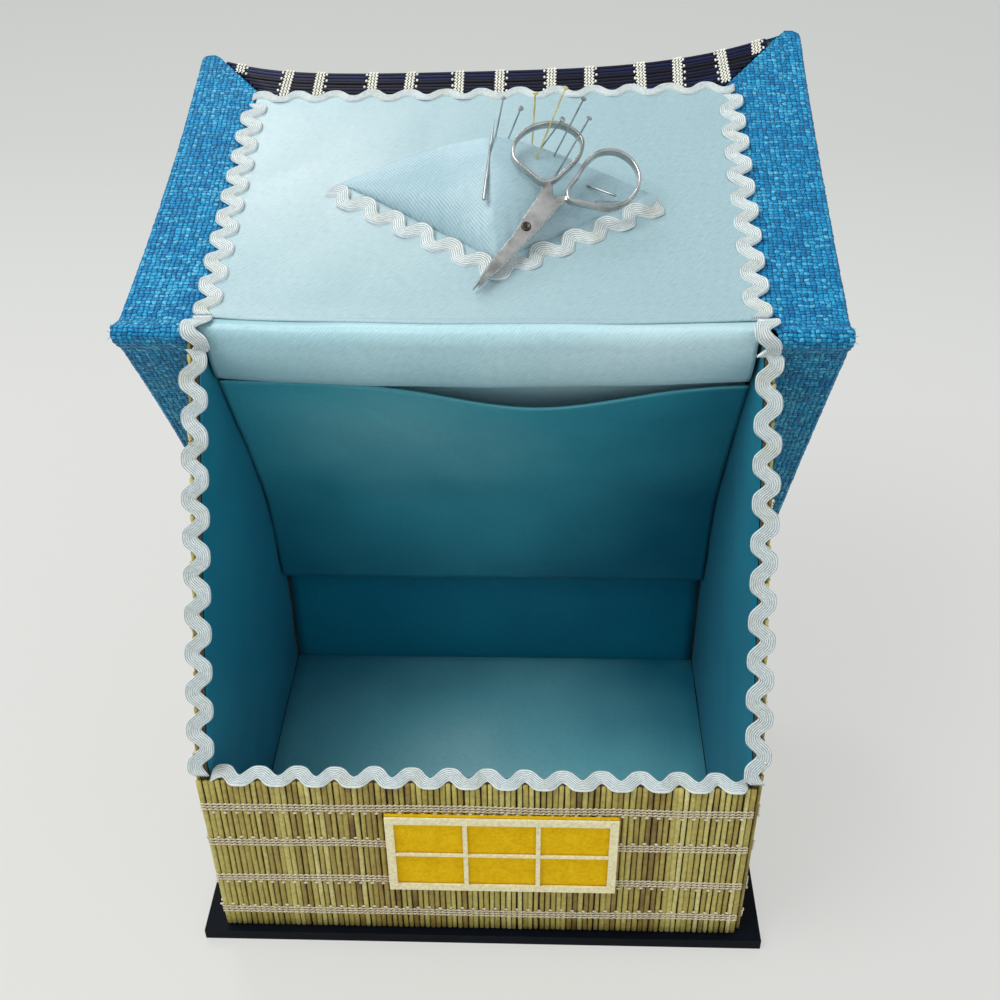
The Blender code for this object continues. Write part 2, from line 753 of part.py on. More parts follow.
def build_pincushion(lid):
    """A stuffed triangle: a long ridge at the back, falling to a point in front."""
    base = LID_FACE + GAP
    bm = bmesh.new()
    columns = []
    for share in shares(CUSHION_COLUMNS + 1):
        back = CUSHION_LEFT.lerp(CUSHION_RIGHT, share)
        fold = 2.0 * share
        if fold < 1.0:
            front = CUSHION_LEFT.lerp(CUSHION_POINT, fold)
        else:
            front = CUSHION_POINT.lerp(CUSHION_RIGHT, fold - 1.0)
        push = math.sin(math.pi * share) * CUSHION_CREST_PUSH
        back = back + Vector((0.0, push))
        crest = front.lerp(back, 0.86)
        height = cushion_height(share)
        column = []
        for step in shares(CUSHION_ROWS):
            if step <= 0.75:
                part = step / 0.75
                spot = front.lerp(crest, part)
                rise = height * math.sin(0.5 * math.pi * part) ** 0.85
            else:
                part = (step - 0.75) / 0.25
                spot = crest.lerp(back, part)
                rise = height * math.cos(0.5 * math.pi * part)
            column.append((spot.x, spot.y, base + rise))
        columns.append(column)
    left = bm.verts.new((*CUSHION_LEFT, base))
    right = bm.verts.new((*CUSHION_RIGHT, base))
    grid = [[bm.verts.new(point) for point in column] for column in columns[1:-1]]
    for k in range(CUSHION_ROWS - 1):
        bm.faces.new((left, grid[0][k], grid[0][k + 1]))
        bm.faces.new((right, grid[-1][k + 1], grid[-1][k]))
    for column, after in zip(grid, grid[1:]):
        for k in range(CUSHION_ROWS - 1):
            bm.faces.new((column[k], after[k], after[k + 1], column[k + 1]))
        bm.faces.new((column[0], column[-1], after[-1], after[0]))
    bm.faces.new((left, grid[0][-1], grid[0][0]))
    bm.faces.new((right, grid[-1][0], grid[-1][-1]))
    bmesh.ops.recalc_face_normals(bm, faces=bm.faces)
    mesh = bpy.data.meshes.new("pincushion")
    bm.to_mesh(mesh)
    bm.free()
    cushion = place("pincushion", mesh, "satin", lid)
    level = LID_FACE + GAP
    clear = BRAID_SWING + BRAID_WIDTH / 2 + GAP
    down = Vector((0.0, -clear * 1.25))
    left_end = CUSHION_LEFT + down + Vector((-0.6 * clear, 0.0))
    right_end = CUSHION_RIGHT + down + Vector((0.6 * clear, 0.0))
    rickrack("pincushion_rickrack", left_end, CUSHION_POINT + down, level, lid, right_end)
    return cushion


def on_scissors(point, lift=0.0):
    """A point given across and along the scissors, in the lid's frame."""
    across = SCISSORS_ACROSS.normalized()
    along = (SCISSORS_ALONG - across * SCISSORS_ALONG.dot(across)).normalized()
    facing = across.cross(along)
    return RIVET_PLACE + across * point[0] * MM + along * point[1] * MM + facing * lift


def blade_half(bm, outline, low):
    """A flat half of the scissors: blade and shank, with its thickness above low."""
    bottom = [bm.verts.new(on_scissors(point, low)) for point in outline]
    top = [bm.verts.new(on_scissors(point, low + BLADE_THICK)) for point in outline]
    bm.faces.new(bottom)
    bm.faces.new(reversed(top))
    for k in range(len(outline)):
        after = (k + 1) % len(outline)
        bm.faces.new((bottom[k], top[k], top[after], bottom[after]))


def strap_loop(bm, line, low):
    """A finger loop: a flat strap on edge, along a closed line."""
    count = len(line)
    rings = []
    for k in range(count):
        here = Vector(line[k])
        before = Vector(line[k - 1])
        after = Vector(line[(k + 1) % count])
        across = Vector((before.y - after.y, after.x - before.x)).normalized()
        half = LOOP_STRAP / 2 / MM
        ring = []
        for offset, lift in ((-half, 0.0), (half, 0.0), (half, LOOP_DEPTH), (-half, LOOP_DEPTH)):
            spot = here + across * offset
            ring.append(bm.verts.new(on_scissors(spot, low + lift)))
        rings.append(ring)
    for k in range(count):
        after = rings[(k + 1) % count]
        for side in range(4):
            nxt = (side + 1) % 4
            bm.faces.new((rings[k][side], rings[k][nxt], after[nxt], after[side]))


def scissors_half(name, outline, line, low, loop_low, lid):
    """One half of the scissors, its blade and its loop joined to one solid."""
    parts = []
    for step, shape, level in ((blade_half, outline, low), (strap_loop, line, loop_low)):
        bm = bmesh.new()
        step(bm, shape, level)
        bmesh.ops.recalc_face_normals(bm, faces=bm.faces)
        mesh = bpy.data.meshes.new(name)
        bm.to_mesh(mesh)
        bm.free()
        parts.append(mesh)
    half = place(name, parts[0], "steel", lid)
    loop = place(name + "_loop", parts[1], "steel", lid)
    loop.hide_render = True
    loop.display_type = "WIRE"
    join = half.modifiers.new("loop", "BOOLEAN")
    join.operation = "UNION"
    join.solver = "EXACT"
    join.object = loop
    return half


def turned(name, start, end, rings, lid):
    """A round piece from start to end. rings: distance past the end or share, radius."""
    axis = (end - start).normalized()
    turn = Vector((0.0, 0.0, 1.0)).rotation_difference(axis).to_matrix()
    bm = bmesh.new()
    loops = []
    for distance, radius in rings:
        loop = []
        for k in range(PIN_SIDES):
            angle = 2.0 * math.pi * k / PIN_SIDES
            spoke = turn @ Vector((math.cos(angle) * radius, math.sin(angle) * radius, 0.0))
            loop.append(bm.verts.new(start + axis * distance + spoke))
        loops.append(loop)
    bm.faces.new(reversed(loops[0]))
    bm.faces.new(loops[-1])
    for loop, after in zip(loops, loops[1:]):
        for k in range(PIN_SIDES):
            nxt = (k + 1) % PIN_SIDES
            bm.faces.new((loop[k], loop[nxt], after[nxt], after[k]))
    bmesh.ops.recalc_face_normals(bm, faces=bm.faces)
    mesh = bpy.data.meshes.new(name)
    bm.to_mesh(mesh)
    bm.free()
    return place(name, mesh, "steel", lid)


def build_scissors(lid):
    """Two halves on a rivet. The upper half is held by the pins through its loop."""
    low = -GAP / 2 - BLADE_THICK
    upper = ("scissors_front_half", UPPER_HALF_MM, LEFT_LOOP_MM, GAP / 2, GAP / 2)
    lower = ("scissors_rear_half", LOWER_HALF_MM, RIGHT_LOOP_MM, low, low)
    reach = BLADE_THICK + 1.5 * GAP
    foot = on_scissors((0.0, 0.0), -reach - RIVET_HEAD_THICK)
    top = on_scissors((0.0, 0.0), reach + RIVET_HEAD_THICK)
    span = (top - foot).length
    hole_rings = ((0.0, RIVET_RADIUS + GAP), (span, RIVET_RADIUS + GAP))
    hole = turned("scissors_hole", foot, top, hole_rings, lid)
    hole.hide_render = True
    hole.display_type = "WIRE"
    for name, outline, line, level, loop_level in (upper, lower):
        half = scissors_half(name, outline, line, level, loop_level, lid)
        cut = half.modifiers.new("rivet_hole", "BOOLEAN")
        cut.operation = "DIFFERENCE"
        cut.solver = "EXACT"
        cut.object = hole
    rings = (
        (0.0, RIVET_HEAD_RADIUS),
        (RIVET_HEAD_THICK, RIVET_HEAD_RADIUS),
        (RIVET_HEAD_THICK, RIVET_RADIUS),
        (span - RIVET_HEAD_THICK, RIVET_RADIUS),
        (span - RIVET_HEAD_THICK, RIVET_HEAD_RADIUS),
        (span, RIVET_HEAD_RADIUS),
    )
    turned("scissors_rivet", foot, top, rings, lid)


def pierce(cushion, name, foot, top, radius, lid):
    """Cut the hole in which a pin or needle stands."""
    step = (top - foot).normalized() * GAP
    depth = (top - foot).length + GAP
    rings = ((0.0, radius + GAP), (depth, radius + GAP))
    cutter = turned(name + "_hole", foot - step, top, rings, lid)
    cutter.hide_render = True
    cutter.display_type = "WIRE"
    cut = cushion.modifiers.new(name, "BOOLEAN")
    cut.operation = "DIFFERENCE"
    cut.solver = "EXACT"
    cut.object = cutter


def build_pins(lid, cushion):
    """Headed pins and plain needles, standing in the pincushion."""
    for number, (head, point) in enumerate(PINS_MM, 1):
        top = Vector(head) * MM
        entry = Vector(point) * MM
        foot = entry + (entry - top).normalized() * PIN_DEPTH
        length = (top - foot).length
        rings = (
            (0.0, PIN_RADIUS),
            (length, PIN_RADIUS),
            (length + 0.1 * PIN_HEAD_THICK, PIN_HEAD_RADIUS),
            (length + PIN_HEAD_THICK, 0.7 * PIN_HEAD_RADIUS),
        )
        turned(f"pin_{number}", foot, top, rings, lid)
        pierce(cushion, f"pin_{number}", foot, top, PIN_RADIUS, lid)
    for number, (head, point) in enumerate(NEEDLES_MM, 1):
        top = Vector(head) * MM
        foot = Vector(point) * MM
        rings = ((0.0, NEEDLE_RADIUS), ((top - foot).length, NEEDLE_RADIUS))
        turned(f"needle_{number}", foot, top, rings, lid)
        pierce(cushion, f"needle_{number}", foot, top, NEEDLE_RADIUS, lid)


def build():
    """Put the whole box together."""
    for old in list(bpy.data.objects):
        bpy.data.objects.remove(old, do_unlink=True)
    build_base_and_walls()
    build_window()
    apex = (0.0, 0.0, RIDGE_HEIGHT)
    back_slope = frame_empty("back_slope_frame", apex, (-SLOPE, 0.0, 0.0))
    front_slope = frame_empty("front_slope_frame", apex, (-SLOPE, 0.0, math.pi))
    pivot = (0.0, -PIVOT_FORWARD, RIDGE_HEIGHT + PIVOT_RISE)
    lid = frame_empty("lid_pivot_frame", pivot, (math.radians(LID_OPEN_DEG), 0.0, 0.0))
    build_back_roof(back_slope)
    build_lid(lid)
    build_rim_braid(front_slope)
    build_lid_braid(lid)
    build_pocket()
    build_hinge_cloth(back_slope)
    cushion = build_pincushion(lid)
    build_scissors(lid)
    build_pins(lid, cushion)


build()
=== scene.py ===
"""A small sewing box shaped like a steep-roofed house, its front roof thrown back as a lid.

It is made of card boards covered in rush matting, bound with woven raffia and lined with
satin. The sections follow the box as it is put together, from the base up to the lid.
"""
import math

import bpy
import numpy as np
from mathutils import Matrix, Vector


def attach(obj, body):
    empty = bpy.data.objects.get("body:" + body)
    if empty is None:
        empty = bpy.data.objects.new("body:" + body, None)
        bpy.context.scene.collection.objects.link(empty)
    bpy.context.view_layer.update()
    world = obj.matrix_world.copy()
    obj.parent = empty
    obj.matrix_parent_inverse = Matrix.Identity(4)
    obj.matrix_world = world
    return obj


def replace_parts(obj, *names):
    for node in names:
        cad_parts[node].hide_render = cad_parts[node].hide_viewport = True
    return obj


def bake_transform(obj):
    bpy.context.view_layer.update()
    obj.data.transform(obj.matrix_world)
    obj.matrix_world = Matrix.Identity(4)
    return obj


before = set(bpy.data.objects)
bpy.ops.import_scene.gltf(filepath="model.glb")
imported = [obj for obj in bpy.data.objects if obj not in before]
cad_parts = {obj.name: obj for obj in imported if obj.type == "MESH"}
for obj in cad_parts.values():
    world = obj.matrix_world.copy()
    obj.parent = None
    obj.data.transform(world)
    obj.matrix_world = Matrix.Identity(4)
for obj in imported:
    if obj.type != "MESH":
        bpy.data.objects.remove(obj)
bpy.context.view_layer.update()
mm = 0.001


# Base board: a thick card board wrapped in dark navy paper, with softly rounded edges. The
# paper is cloudy in tone with a fine grit, and the walls are glued down on it.
def paint(red, green, blue):
    """A colour given as it shows on the real piece, from 0 to 255."""
    parts = [c / 255 for c in (red, green, blue)]
    linear = [c / 12.92 if c < 0.04045 else ((c + 0.055) / 1.055) ** 2.4 for c in parts]
    return (*linear, 1.0)


def new_finish(name, **sockets):
    """A finish with the given constants on its shader."""
    finish = bpy.data.materials.new(name)
    finish.use_nodes = True
    shader = finish.node_tree.nodes["Principled BSDF"]
    for key, value in sockets.items():
        shader.inputs[key.replace("_", " ")].default_value = value
    return finish


def put(finish, kind, *inputs, out=0, **settings):
    """Add a node, with its inputs in order as values or links. Returns one output."""
    node = finish.node_tree.nodes.new("ShaderNode" + kind)
    for key, value in settings.items():
        setattr(node, key, value)
    for socket, value in zip(node.inputs, inputs):
        if isinstance(value, bpy.types.NodeSocket):
            finish.node_tree.links.new(value, socket)
        elif value is not None:
            socket.default_value = value
    return node.outputs[out]


def maths(finish, operation, *inputs):
    return put(finish, "Math", *inputs, operation=operation)


def speckle(finish, where, scale, detail=3.0, roughness=0.55, stretch=None):
    """Cloudy noise. Stretch gives it a grain."""
    if stretch:
        where = put(finish, "Mapping", where, None, None, stretch)
    return put(finish, "TexNoise", where, None, scale, detail, roughness)


def mixed(finish, share, low, high, blend="MIX"):
    """Two colours mixed by a share."""
    inputs = (share, None, None, None, None, None, low, high)
    return put(finish, "Mix", *inputs, out=2, data_type="RGBA", blend_type=blend)


def ramp(finish, share, *stops):
    """A colour read off a row of (place, colour) stops."""
    output = put(finish, "ValToRGB", share)
    elements = output.node.color_ramp.elements
    while len(elements) < len(stops):
        elements.new(0.5)
    for element, (place, colour) in zip(elements, stops):
        element.position = place
        element.color = colour
    return output


def relief(finish, height, distance, strength=1.0, under=None):
    """Bump from a height, over another bump where one is given."""
    inputs = [strength, distance]
    output = put(finish, "Bump", *inputs)
    node = output.node
    finish.node_tree.links.new(height, node.inputs["Height"])
    if under:
        finish.node_tree.links.new(under, node.inputs["Normal"])
    return output


def wire(finish, **outputs):
    """Join outputs to the shader's sockets."""
    shader = finish.node_tree.nodes["Principled BSDF"]
    for key, output in outputs.items():
        finish.node_tree.links.new(output, shader.inputs[key.replace("_", " ")])


def flat_of(finish):
    """Places on the surface in metres: its own UV map, cut flat."""
    return put(finish, "TexCoord", out=2)


def solid_of(finish):
    """Places in the piece's own space, in metres."""
    return put(finish, "TexCoord", out=3)


def dress(node, finish, soften=0.0):
    """Give a solid of the frame its finish."""
    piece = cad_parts[node]
    piece.data.materials.clear()
    piece.data.materials.append(finish)
    if soften:
        round_off = piece.modifiers.new("soft_edge", "BEVEL")
        round_off.width = soften
        round_off.segments = 3
        round_off.angle_limit = math.radians(50)
    return piece


navy_paper = new_finish("navy_paper", Roughness=0.6, Specular_IOR_Level=0.12)
cloud = speckle(navy_paper, solid_of(navy_paper), 90.0, 5.0)
grit = speckle(navy_paper, solid_of(navy_paper), 900.0, 3.0)
navy_tones = ramp(
    navy_paper,
    cloud,
    (0.3, paint(0, 4, 12)),
    (0.66, paint(0, 8, 20)),
    (0.84, paint(16, 28, 42)),
)
wire(navy_paper, Base_Color=navy_tones, Normal=relief(navy_paper, grit, 0.15 * mm, 0.6))
dress("base_board", navy_paper, 0.8 * mm)


# Wall and roof boards: grey-brown card, cut to the shape of each wall. They show only as
# thin edges between the covering outside and the lining inside.
def grainy(name, noise, low, high, bump, **sockets):
    """A finish mottled between two (place, colour) tones by a noise that also stands up."""
    finish = new_finish(name, **sockets)
    grain = speckle(finish, solid_of(finish), *noise)
    wire(finish, Base_Color=ramp(finish, grain, low, high), Normal=relief(finish, grain, *bump))
    return finish


card_tones = (0.3, paint(58, 48, 34)), (0.7, paint(92, 80, 58))
bare_card = grainy("bare_card", (400.0, 4.0), *card_tones, (0.1 * mm,), Roughness=0.9)
for side_name in ("front_wall", "back_wall", "left_gable", "right_gable", "back_roof"):
    dress(side_name + "_board", bare_card)


# Wall mats: dried rush stalks, about 2 mm wide, stand side by side and are held by bands of
# three cream threads, with a tie on every second stalk beside each band.
stalk_pitch = 2.0 * mm
mat_deep = 1.35 * mm
band_heights = (14.0 * mm, 32.6 * mm, 51.8 * mm, 70.4 * mm)


def place_mesh(name, points, faces, finish, smooth=True):
    """A new piece from points and faces."""
    mesh = bpy.data.meshes.new(name)
    mesh.from_pydata(np.asarray(points).tolist(), [], faces)
    mesh.materials.append(finish)
    if smooth:
        mesh.shade_smooth()
    piece = bpy.data.objects.new(name, mesh)
    bpy.context.scene.collection.objects.link(piece)
    return piece


def unit(vectors):
    return vectors / np.maximum(np.linalg.norm(vectors, axis=-1, keepdims=True), 1e-12)


def rods(name, paths, ups, wide, deep, finish, slot_name, sides=8, square=1.0, closed=False):
    """Rods along paths as one piece. wide and deep are half sizes, one each or per point."""
    points, faces, tones, lengths = [], [], [], []
    draw = np.random.default_rng(len(paths) * 7 + sides)
    tone_of = draw.random(len(paths))
    start = 0
    angle = np.arange(sides) * 2 * math.pi / sides + math.pi / sides
    round_x = np.sign(np.cos(angle)) * np.abs(np.cos(angle)) ** square
    round_y = np.sign(np.sin(angle)) * np.abs(np.sin(angle)) ** square
    for number, path in enumerate(paths):
        path = np.asarray(path, float)
        count = len(path)
        if closed:
            ahead = unit(np.roll(path, -1, 0) - np.roll(path, 1, 0))
        else:
            ahead = unit(np.gradient(path, axis=0))
        up = np.broadcast_to(np.asarray(ups[number], float), path.shape)
        up = unit(up - (up * ahead).sum(1, keepdims=True) * ahead)
        across = np.cross(ahead, up)
        half_w = np.broadcast_to(wide[number] if isinstance(wide, list) else wide, (count,))
        half_d = np.broadcast_to(deep[number] if isinstance(deep, list) else deep, (count,))
        ring = across[:, None] * (round_x[None, :, None] * half_w[:, None, None])
        ring = ring + up[:, None] * (round_y[None, :, None] * half_d[:, None, None])
        points.append((path[:, None] + ring).reshape(-1, 3))
        grid = start + np.arange(count * sides).reshape(count, sides)
        after = np.roll(grid, -1, 0) if closed else grid[1:]
        here = grid if closed else grid[:-1]
        turned = (np.roll(here, -1, 1), np.roll(after, -1, 1))
        quads = np.stack([here, turned[0], turned[1], after], -1).reshape(-1, 4)
        faces.extend(quads.tolist())
        if not closed:
            faces.append(grid[0][::-1].tolist())
            faces.append(grid[-1].tolist())
        run = np.r_[0, np.cumsum(np.linalg.norm(np.diff(path, axis=0), axis=1))]
        tones.append(np.full(count * sides, tone_of[number]))
        lengths.append(np.repeat(run, sides))
        start += count * sides
    piece = place_mesh(name, np.concatenate(points), faces, finish)
    for label, values in (("tone", tones), ("run", lengths)):
        layer = piece.data.attributes.new(label, "FLOAT", "POINT")
        layer.data.foreach_set("value", np.concatenate(values).astype(np.float32))
    return piece


def rush_finish(name, tones, sheen_level):
    """Stalks that differ in tone, each with a grain along it."""
    finish = new_finish(name, Roughness=0.5, Specular_IOR_Level=sheen_level)
    tone = put(finish, "Attribute", out=2, attribute_name="tone")
    run = put(finish, "Attribute", out=2, attribute_name="run")
    shifted = maths(finish, "MULTIPLY", tone, 7.3)
    where = put(finish, "CombineXYZ", run, shifted, tone)
    patches = speckle(finish, where, 60.0, 3.0)
    share = maths(finish, "MULTIPLY_ADD", tone, 0.8, maths(finish, "MULTIPLY", patches, 0.6))
    share = maths(finish, "SUBTRACT", share, 0.22)
    colour = ramp(finish, share, *tones)
    grain = speckle(finish, solid_of(finish), 500.0, 3.0, 0.6)
    streaks = ramp(finish, grain, (0.3, (0.70, 0.68, 0.62, 1)), (0.6, (1, 1, 1, 1)))
    colour = mixed(finish, 1.0, colour, streaks, "MULTIPLY")
    wire(finish, Base_Color=colour, Normal=relief(finish, grain, 0.12 * mm, 0.7))
    return finish


def rush_mat(name, place, stalks, ends, bands, finish, thread_finish, slot_name, seed):
    """Stalks across a surface and the thread bands that hold them, as two pieces.

    place gives the points and outward normals for arrays of stalk places and heights.
    """
    draw = np.random.default_rng(seed)
    paths, ups, wide = [], [], []
    for stalk in stalks:
        low, high = ends(stalk)
        if high - low < 2 * mm:
            continue
        rows = max(4, int((high - low) / (7 * mm)))
        heights = np.linspace(low, high, rows)
        lean = draw.normal(0, 0.10 * mm, 2)
        sway = np.interp(heights, (low, high), lean) + draw.normal(0, 0.05 * mm, rows)
        spot, normal = place(stalk + sway, heights)
        lift = draw.normal(0, 0.06 * mm)
        paths.append(spot - normal * (mat_deep / 2 - lift))
        ups.append(normal)
        wide.append(np.full(rows, stalk_pitch / 2 * draw.uniform(0.78, 0.98)))
    mat = rods(name, paths, ups, wide, mat_deep / 2, finish, slot_name, sides=8, square=0.85)
    threads, thread_ups, thread_wide = [], [], []
    for row, band in enumerate(bands):
        along = np.arange(stalks[0] - 0.9 * mm, stalks[-1] + 0.9 * mm, stalk_pitch / 6)
        inside = [ends(a)[0] < band < ends(a)[1] for a in along]
        along = along[np.array(inside)]
        if len(along) < 8:
            continue
        wander = np.interp(along, np.linspace(along[0], along[-1], 9), draw.normal(0, 0.3 * mm, 9))
        phase = 2 * math.pi * (along - stalks[0]) / stalk_pitch
        for cord in (-1, 0, 1):
            wave = 0.42 * mm * np.cos(phase + 0.4 * cord)
            heights = band + wander + cord * 1.3 * mm + wave
            spot, normal = place(along, heights)
            threads.append(spot + normal * ((0.20 * mm * np.cos(phase)) + 0.05 * mm)[:, None])
            thread_ups.append(normal)
            thread_wide.append(np.full(len(along), 0.32 * mm))
        side = -1 if row % 2 else 1
        for spot_at in along[:: 12]:
            place_on = np.linspace(spot_at - 0.75 * mm, spot_at + 0.75 * mm, 5)
            shift = np.interp(spot_at, along, wander) + side * draw.uniform(2.3, 2.9) * mm
            spot, normal = place(place_on, np.full(5, band + shift))
            threads.append(spot + normal * (0.15 * mm))
            thread_ups.append(normal)
            thread_wide.append(np.array([0.15, 0.4, 0.5, 0.4, 0.15]) * mm)
    thread_deep = [w * 0.9 for w in thread_wide]
    cords = (threads, thread_ups, thread_wide, thread_deep)
    return mat, rods(name + "_threads", *cords, thread_finish, slot_name, 6)


straw_tones = (
    (0.02, paint(104, 80, 42)),
    (0.16, paint(152, 130, 66)),
    (0.36, paint(176, 161, 84)),
    (0.58, paint(189, 177, 97)),
    (0.8, paint(203, 193, 116)),
    (0.97, paint(222, 213, 150)),
)
straw = rush_finish("straw_rush", straw_tones, 0.35)
cream_tones = (0.3, paint(176, 164, 136)), (0.65, paint(236, 226, 202))
cream_thread = grainy("cream_thread", (1400.0, 2.0), *cream_tones, (0.1 * mm,), Roughness=0.8)

wall_low, wall_high, half_wide, half_deep = 4.9 * mm, 82.0 * mm, 95.0 * mm, 74.0 * mm
ridge_high = 212.0 * mm
gable_half = 72.3 * mm
gable_slope = (ridge_high - wall_high) / half_deep


def wall_place(side, along_x):
    """Points on the outer face of a wall, for places along it and heights."""

    def place(along, heights):
        fixed = np.full(len(along), side * (half_deep if along_x else half_wide))
        spread = (along, fixed, heights) if along_x else (fixed, along, heights)
        normal = (0, side, 0) if along_x else (side, 0, 0)
        return np.stack(spread, 1), np.broadcast_to(np.array(normal, float), (len(along), 3))

    return place


def wall_ends(along):
    return wall_low, wall_high


def gable_ends(along):
    return wall_low, ridge_high - abs(along) * gable_slope - 0.1 * mm


across_front = np.arange(-half_wide + 1.1 * mm, half_wide - 0.9 * mm, stalk_pitch)
across_gable = np.arange(-gable_half + 1.0 * mm, gable_half - 0.9 * mm, stalk_pitch)
gable_bands = band_heights + tuple((89.0 + 18.8 * k) * mm for k in range(6))
walls = (
    ("front_wall_mat", -1, True, across_front, wall_ends, band_heights),
    ("back_wall_mat", 1, True, across_front, wall_ends, band_heights),
    ("left_gable_mat", -1, False, across_gable, gable_ends, gable_bands),
    ("right_gable_mat", 1, False, across_gable, gable_ends, gable_bands),
)
for seed, (node, side, along_x, stalks, ends, bands) in enumerate(walls, 3):
    place = wall_place(side, along_x)
    mat_name = node.replace("_mat", "_rush")
    made = rush_mat(mat_name, place, stalks, ends, bands, straw, cream_thread, "rush_mat", seed)
    for piece in made:
        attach(piece, "box")
    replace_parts(made[0], node)


# Satin linings: pale blue satin over thin wadding, turned over card and glued in, one piece
# to a wall, with the floor's piece padded and pressed in last.
def satin_finish(name, tones, gloss, pale=None):
    """Satin with a fine diagonal twill, cloudy in tone and softly shiny.

    tones gives its deep, middle and pale colours, and pale the (x, y, reach) of a painted pool
    of light: the sheet is painted paler around that place, falling off to its cloudy tone by reach.
    """
    low, middle, high = (paint(*tone) for tone in tones)
    finish = new_finish(
        name, Roughness=gloss, Specular_IOR_Level=0.5, Sheen_Weight=0.04, Sheen_Roughness=0.4
    )
    flat = flat_of(finish)
    turned = put(finish, "Mapping", flat, None, (0, 0, math.radians(38)), (1, 1, 1))
    along = put(finish, "SeparateXYZ", turned)
    warped = speckle(finish, flat, 120.0, 2.0)
    lines = maths(finish, "MULTIPLY_ADD", along, 2 * math.pi / (0.82 * mm), 0.0)
    lines = maths(finish, "ADD", lines, maths(finish, "MULTIPLY", warped, 9.0))
    twill = maths(finish, "SINE", lines)
    # Painted shade: the colour is darkened along the valleys of the diagonal twill.
    ribbed = put(finish, "MapRange", twill, -1.0, 1.0, 0.88, 1.0)
    threads = speckle(finish, turned, 2600.0, 2.0, 0.5, (0.12, 1.0, 1.0))
    clouds = speckle(finish, flat, 14.0, 2.0, 0.5)
    cloud_and_light_share = clouds
    # Painted light: the satin is painted paler around the given place, falling off by reach.
    if pale:
        spot_x, spot_y, reach = (value * mm for value in pale)
        away = put(finish, "VectorMath", flat, (spot_x, spot_y, 0), operation="DISTANCE", out=1)
        painted_light_share = put(finish, "MapRange", away, 0.0, reach, 0.56, 0.08)
        cloud_and_light_share = maths(finish, "MULTIPLY_ADD", clouds, 0.36, painted_light_share)
    colour = ramp(finish, cloud_and_light_share, (0.2, low), (0.5, middle), (0.8, high))
    slubs = ramp(finish, threads, (0.35, (0.80, 0.83, 0.85, 1)), (0.6, (1, 1, 1, 1)))
    colour = mixed(finish, 0.8, colour, slubs, "MULTIPLY")
    colour = mixed(finish, 1.0, colour, ribbed, "MULTIPLY")
    weave = relief(finish, twill, 0.06 * mm, 0.4)
    weave = relief(finish, threads, 0.05 * mm, 0.5, weave)
    soft = relief(finish, clouds, 0.8 * mm, 0.06, weave)
    wire(finish, Base_Color=colour, Normal=soft)
    return finish


def skin(name, points, flat, finish):
    """A sheet through a grid of points, with its size cut flat as its UV map."""
    points = np.asarray(points, float)
    rows, columns = points.shape[:2]
    grid = np.arange(rows * columns).reshape(rows, columns)
    corners = (grid[:-1, :-1], grid[:-1, 1:], grid[1:, 1:], grid[1:, :-1])
    faces = np.stack(corners, -1).reshape(-1, 4)
    piece = place_mesh(name, points.reshape(-1, 3), faces.tolist(), finish)
    layer = piece.data.uv_layers.new(name="flat")
    flat = np.asarray(flat, np.float32).reshape(-1, 2)
    layer.data.foreach_set("uv", flat[faces.ravel()].ravel())
    return piece


def thicken(piece, thick, side):
    """Give a sheet its thickness, to one side of its faces or the other."""
    modifier = piece.modifiers.new("thick", "SOLIDIFY")
    modifier.thickness = thick
    modifier.offset = side
    modifier.use_even_offset = True
    bpy.context.view_layer.update()
    solid = piece.evaluated_get(bpy.context.evaluated_depsgraph_get())
    mesh = bpy.data.meshes.new_from_object(solid)
    piece.modifiers.clear()
    piece.data = mesh
    return piece


def ripple(x, y, seed, reach, size):
    """Soft random swells over a surface, about size high and reach across."""
    draw = np.random.default_rng(seed)
    total = np.zeros_like(x)
    for _ in range(9):
        angle = draw.uniform(0, 2 * math.pi)
        rate = 2 * math.pi / (reach * draw.uniform(0.7, 2.2))
        way = x * math.cos(angle) + y * math.sin(angle)
        total = total + np.sin(way * rate + draw.uniform(0, 6))
    return total / 3.0 * size


def padded_panel(name, corners, lift, puff, seed, finish, columns=40, rows=40, edge=3.0 * mm):
    """A panel of satin over wadding between four corners, puffed up by lift direction."""
    corners = [np.array(c, float) * mm for c in corners]
    across, down = np.meshgrid(np.linspace(0, 1, columns), np.linspace(0, 1, rows))
    top = corners[0] + (corners[1] - corners[0]) * across[..., None]
    foot = corners[3] + (corners[2] - corners[3]) * across[..., None]
    spot = top + (foot - top) * down[..., None]
    wide = np.linalg.norm(corners[1] - corners[0])
    tall = np.linalg.norm(corners[3] - corners[0])
    flat_x, flat_y = across * wide, down * tall
    inset = np.minimum.reduce([flat_x, wide - flat_x, flat_y, tall - flat_y])
    rise = np.clip(inset / edge, 0, 1)
    rise = np.sqrt(1 - (1 - rise) ** 2)
    height = rise * puff + ripple(flat_x, flat_y, seed, 30 * mm, 0.12 * mm) * rise
    spot = spot + np.array(lift, float) * height[..., None]
    return skin(name, spot, np.stack([flat_x, flat_y], -1), finish)


# Painted shade: the walls' lining is the lid's pale satin, painted in deep teal tones for the shade
# inside the box.
shaded_lining_satin = satin_finish("lining_satin", ((0, 116, 146), (0, 134, 162), (20, 146, 170)), 0.42)
# Painted light and shade: the floor's satin is painted deep teal towards its edges for the shade
# inside the box, and paler around a place a little in front of its middle for the light falling in.
floor_tones = ((2, 114, 140), (116, 192, 203), (178, 222, 228))
floor_satin = satin_finish("floor_satin", floor_tones, 0.36, (84, 88, 116))
lining_half, lining_low = 69.9, 5.5
walls_lined = (("front_lining", -1, 82.0), ("back_lining", 1, 81.9))
for seed, (node, side, top) in enumerate(walls_lined, 20):
    y = side * lining_half
    corners = ((-90, y, top), (90, y, top), (90, y, lining_low), (-90, y, lining_low))
    piece = padded_panel(node + "_satin", corners, (0, -side, 0), 0.55 * mm, seed, shaded_lining_satin)
    thicken(piece, 0.25 * mm, float(side))
    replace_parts(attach(piece, "box"), node)

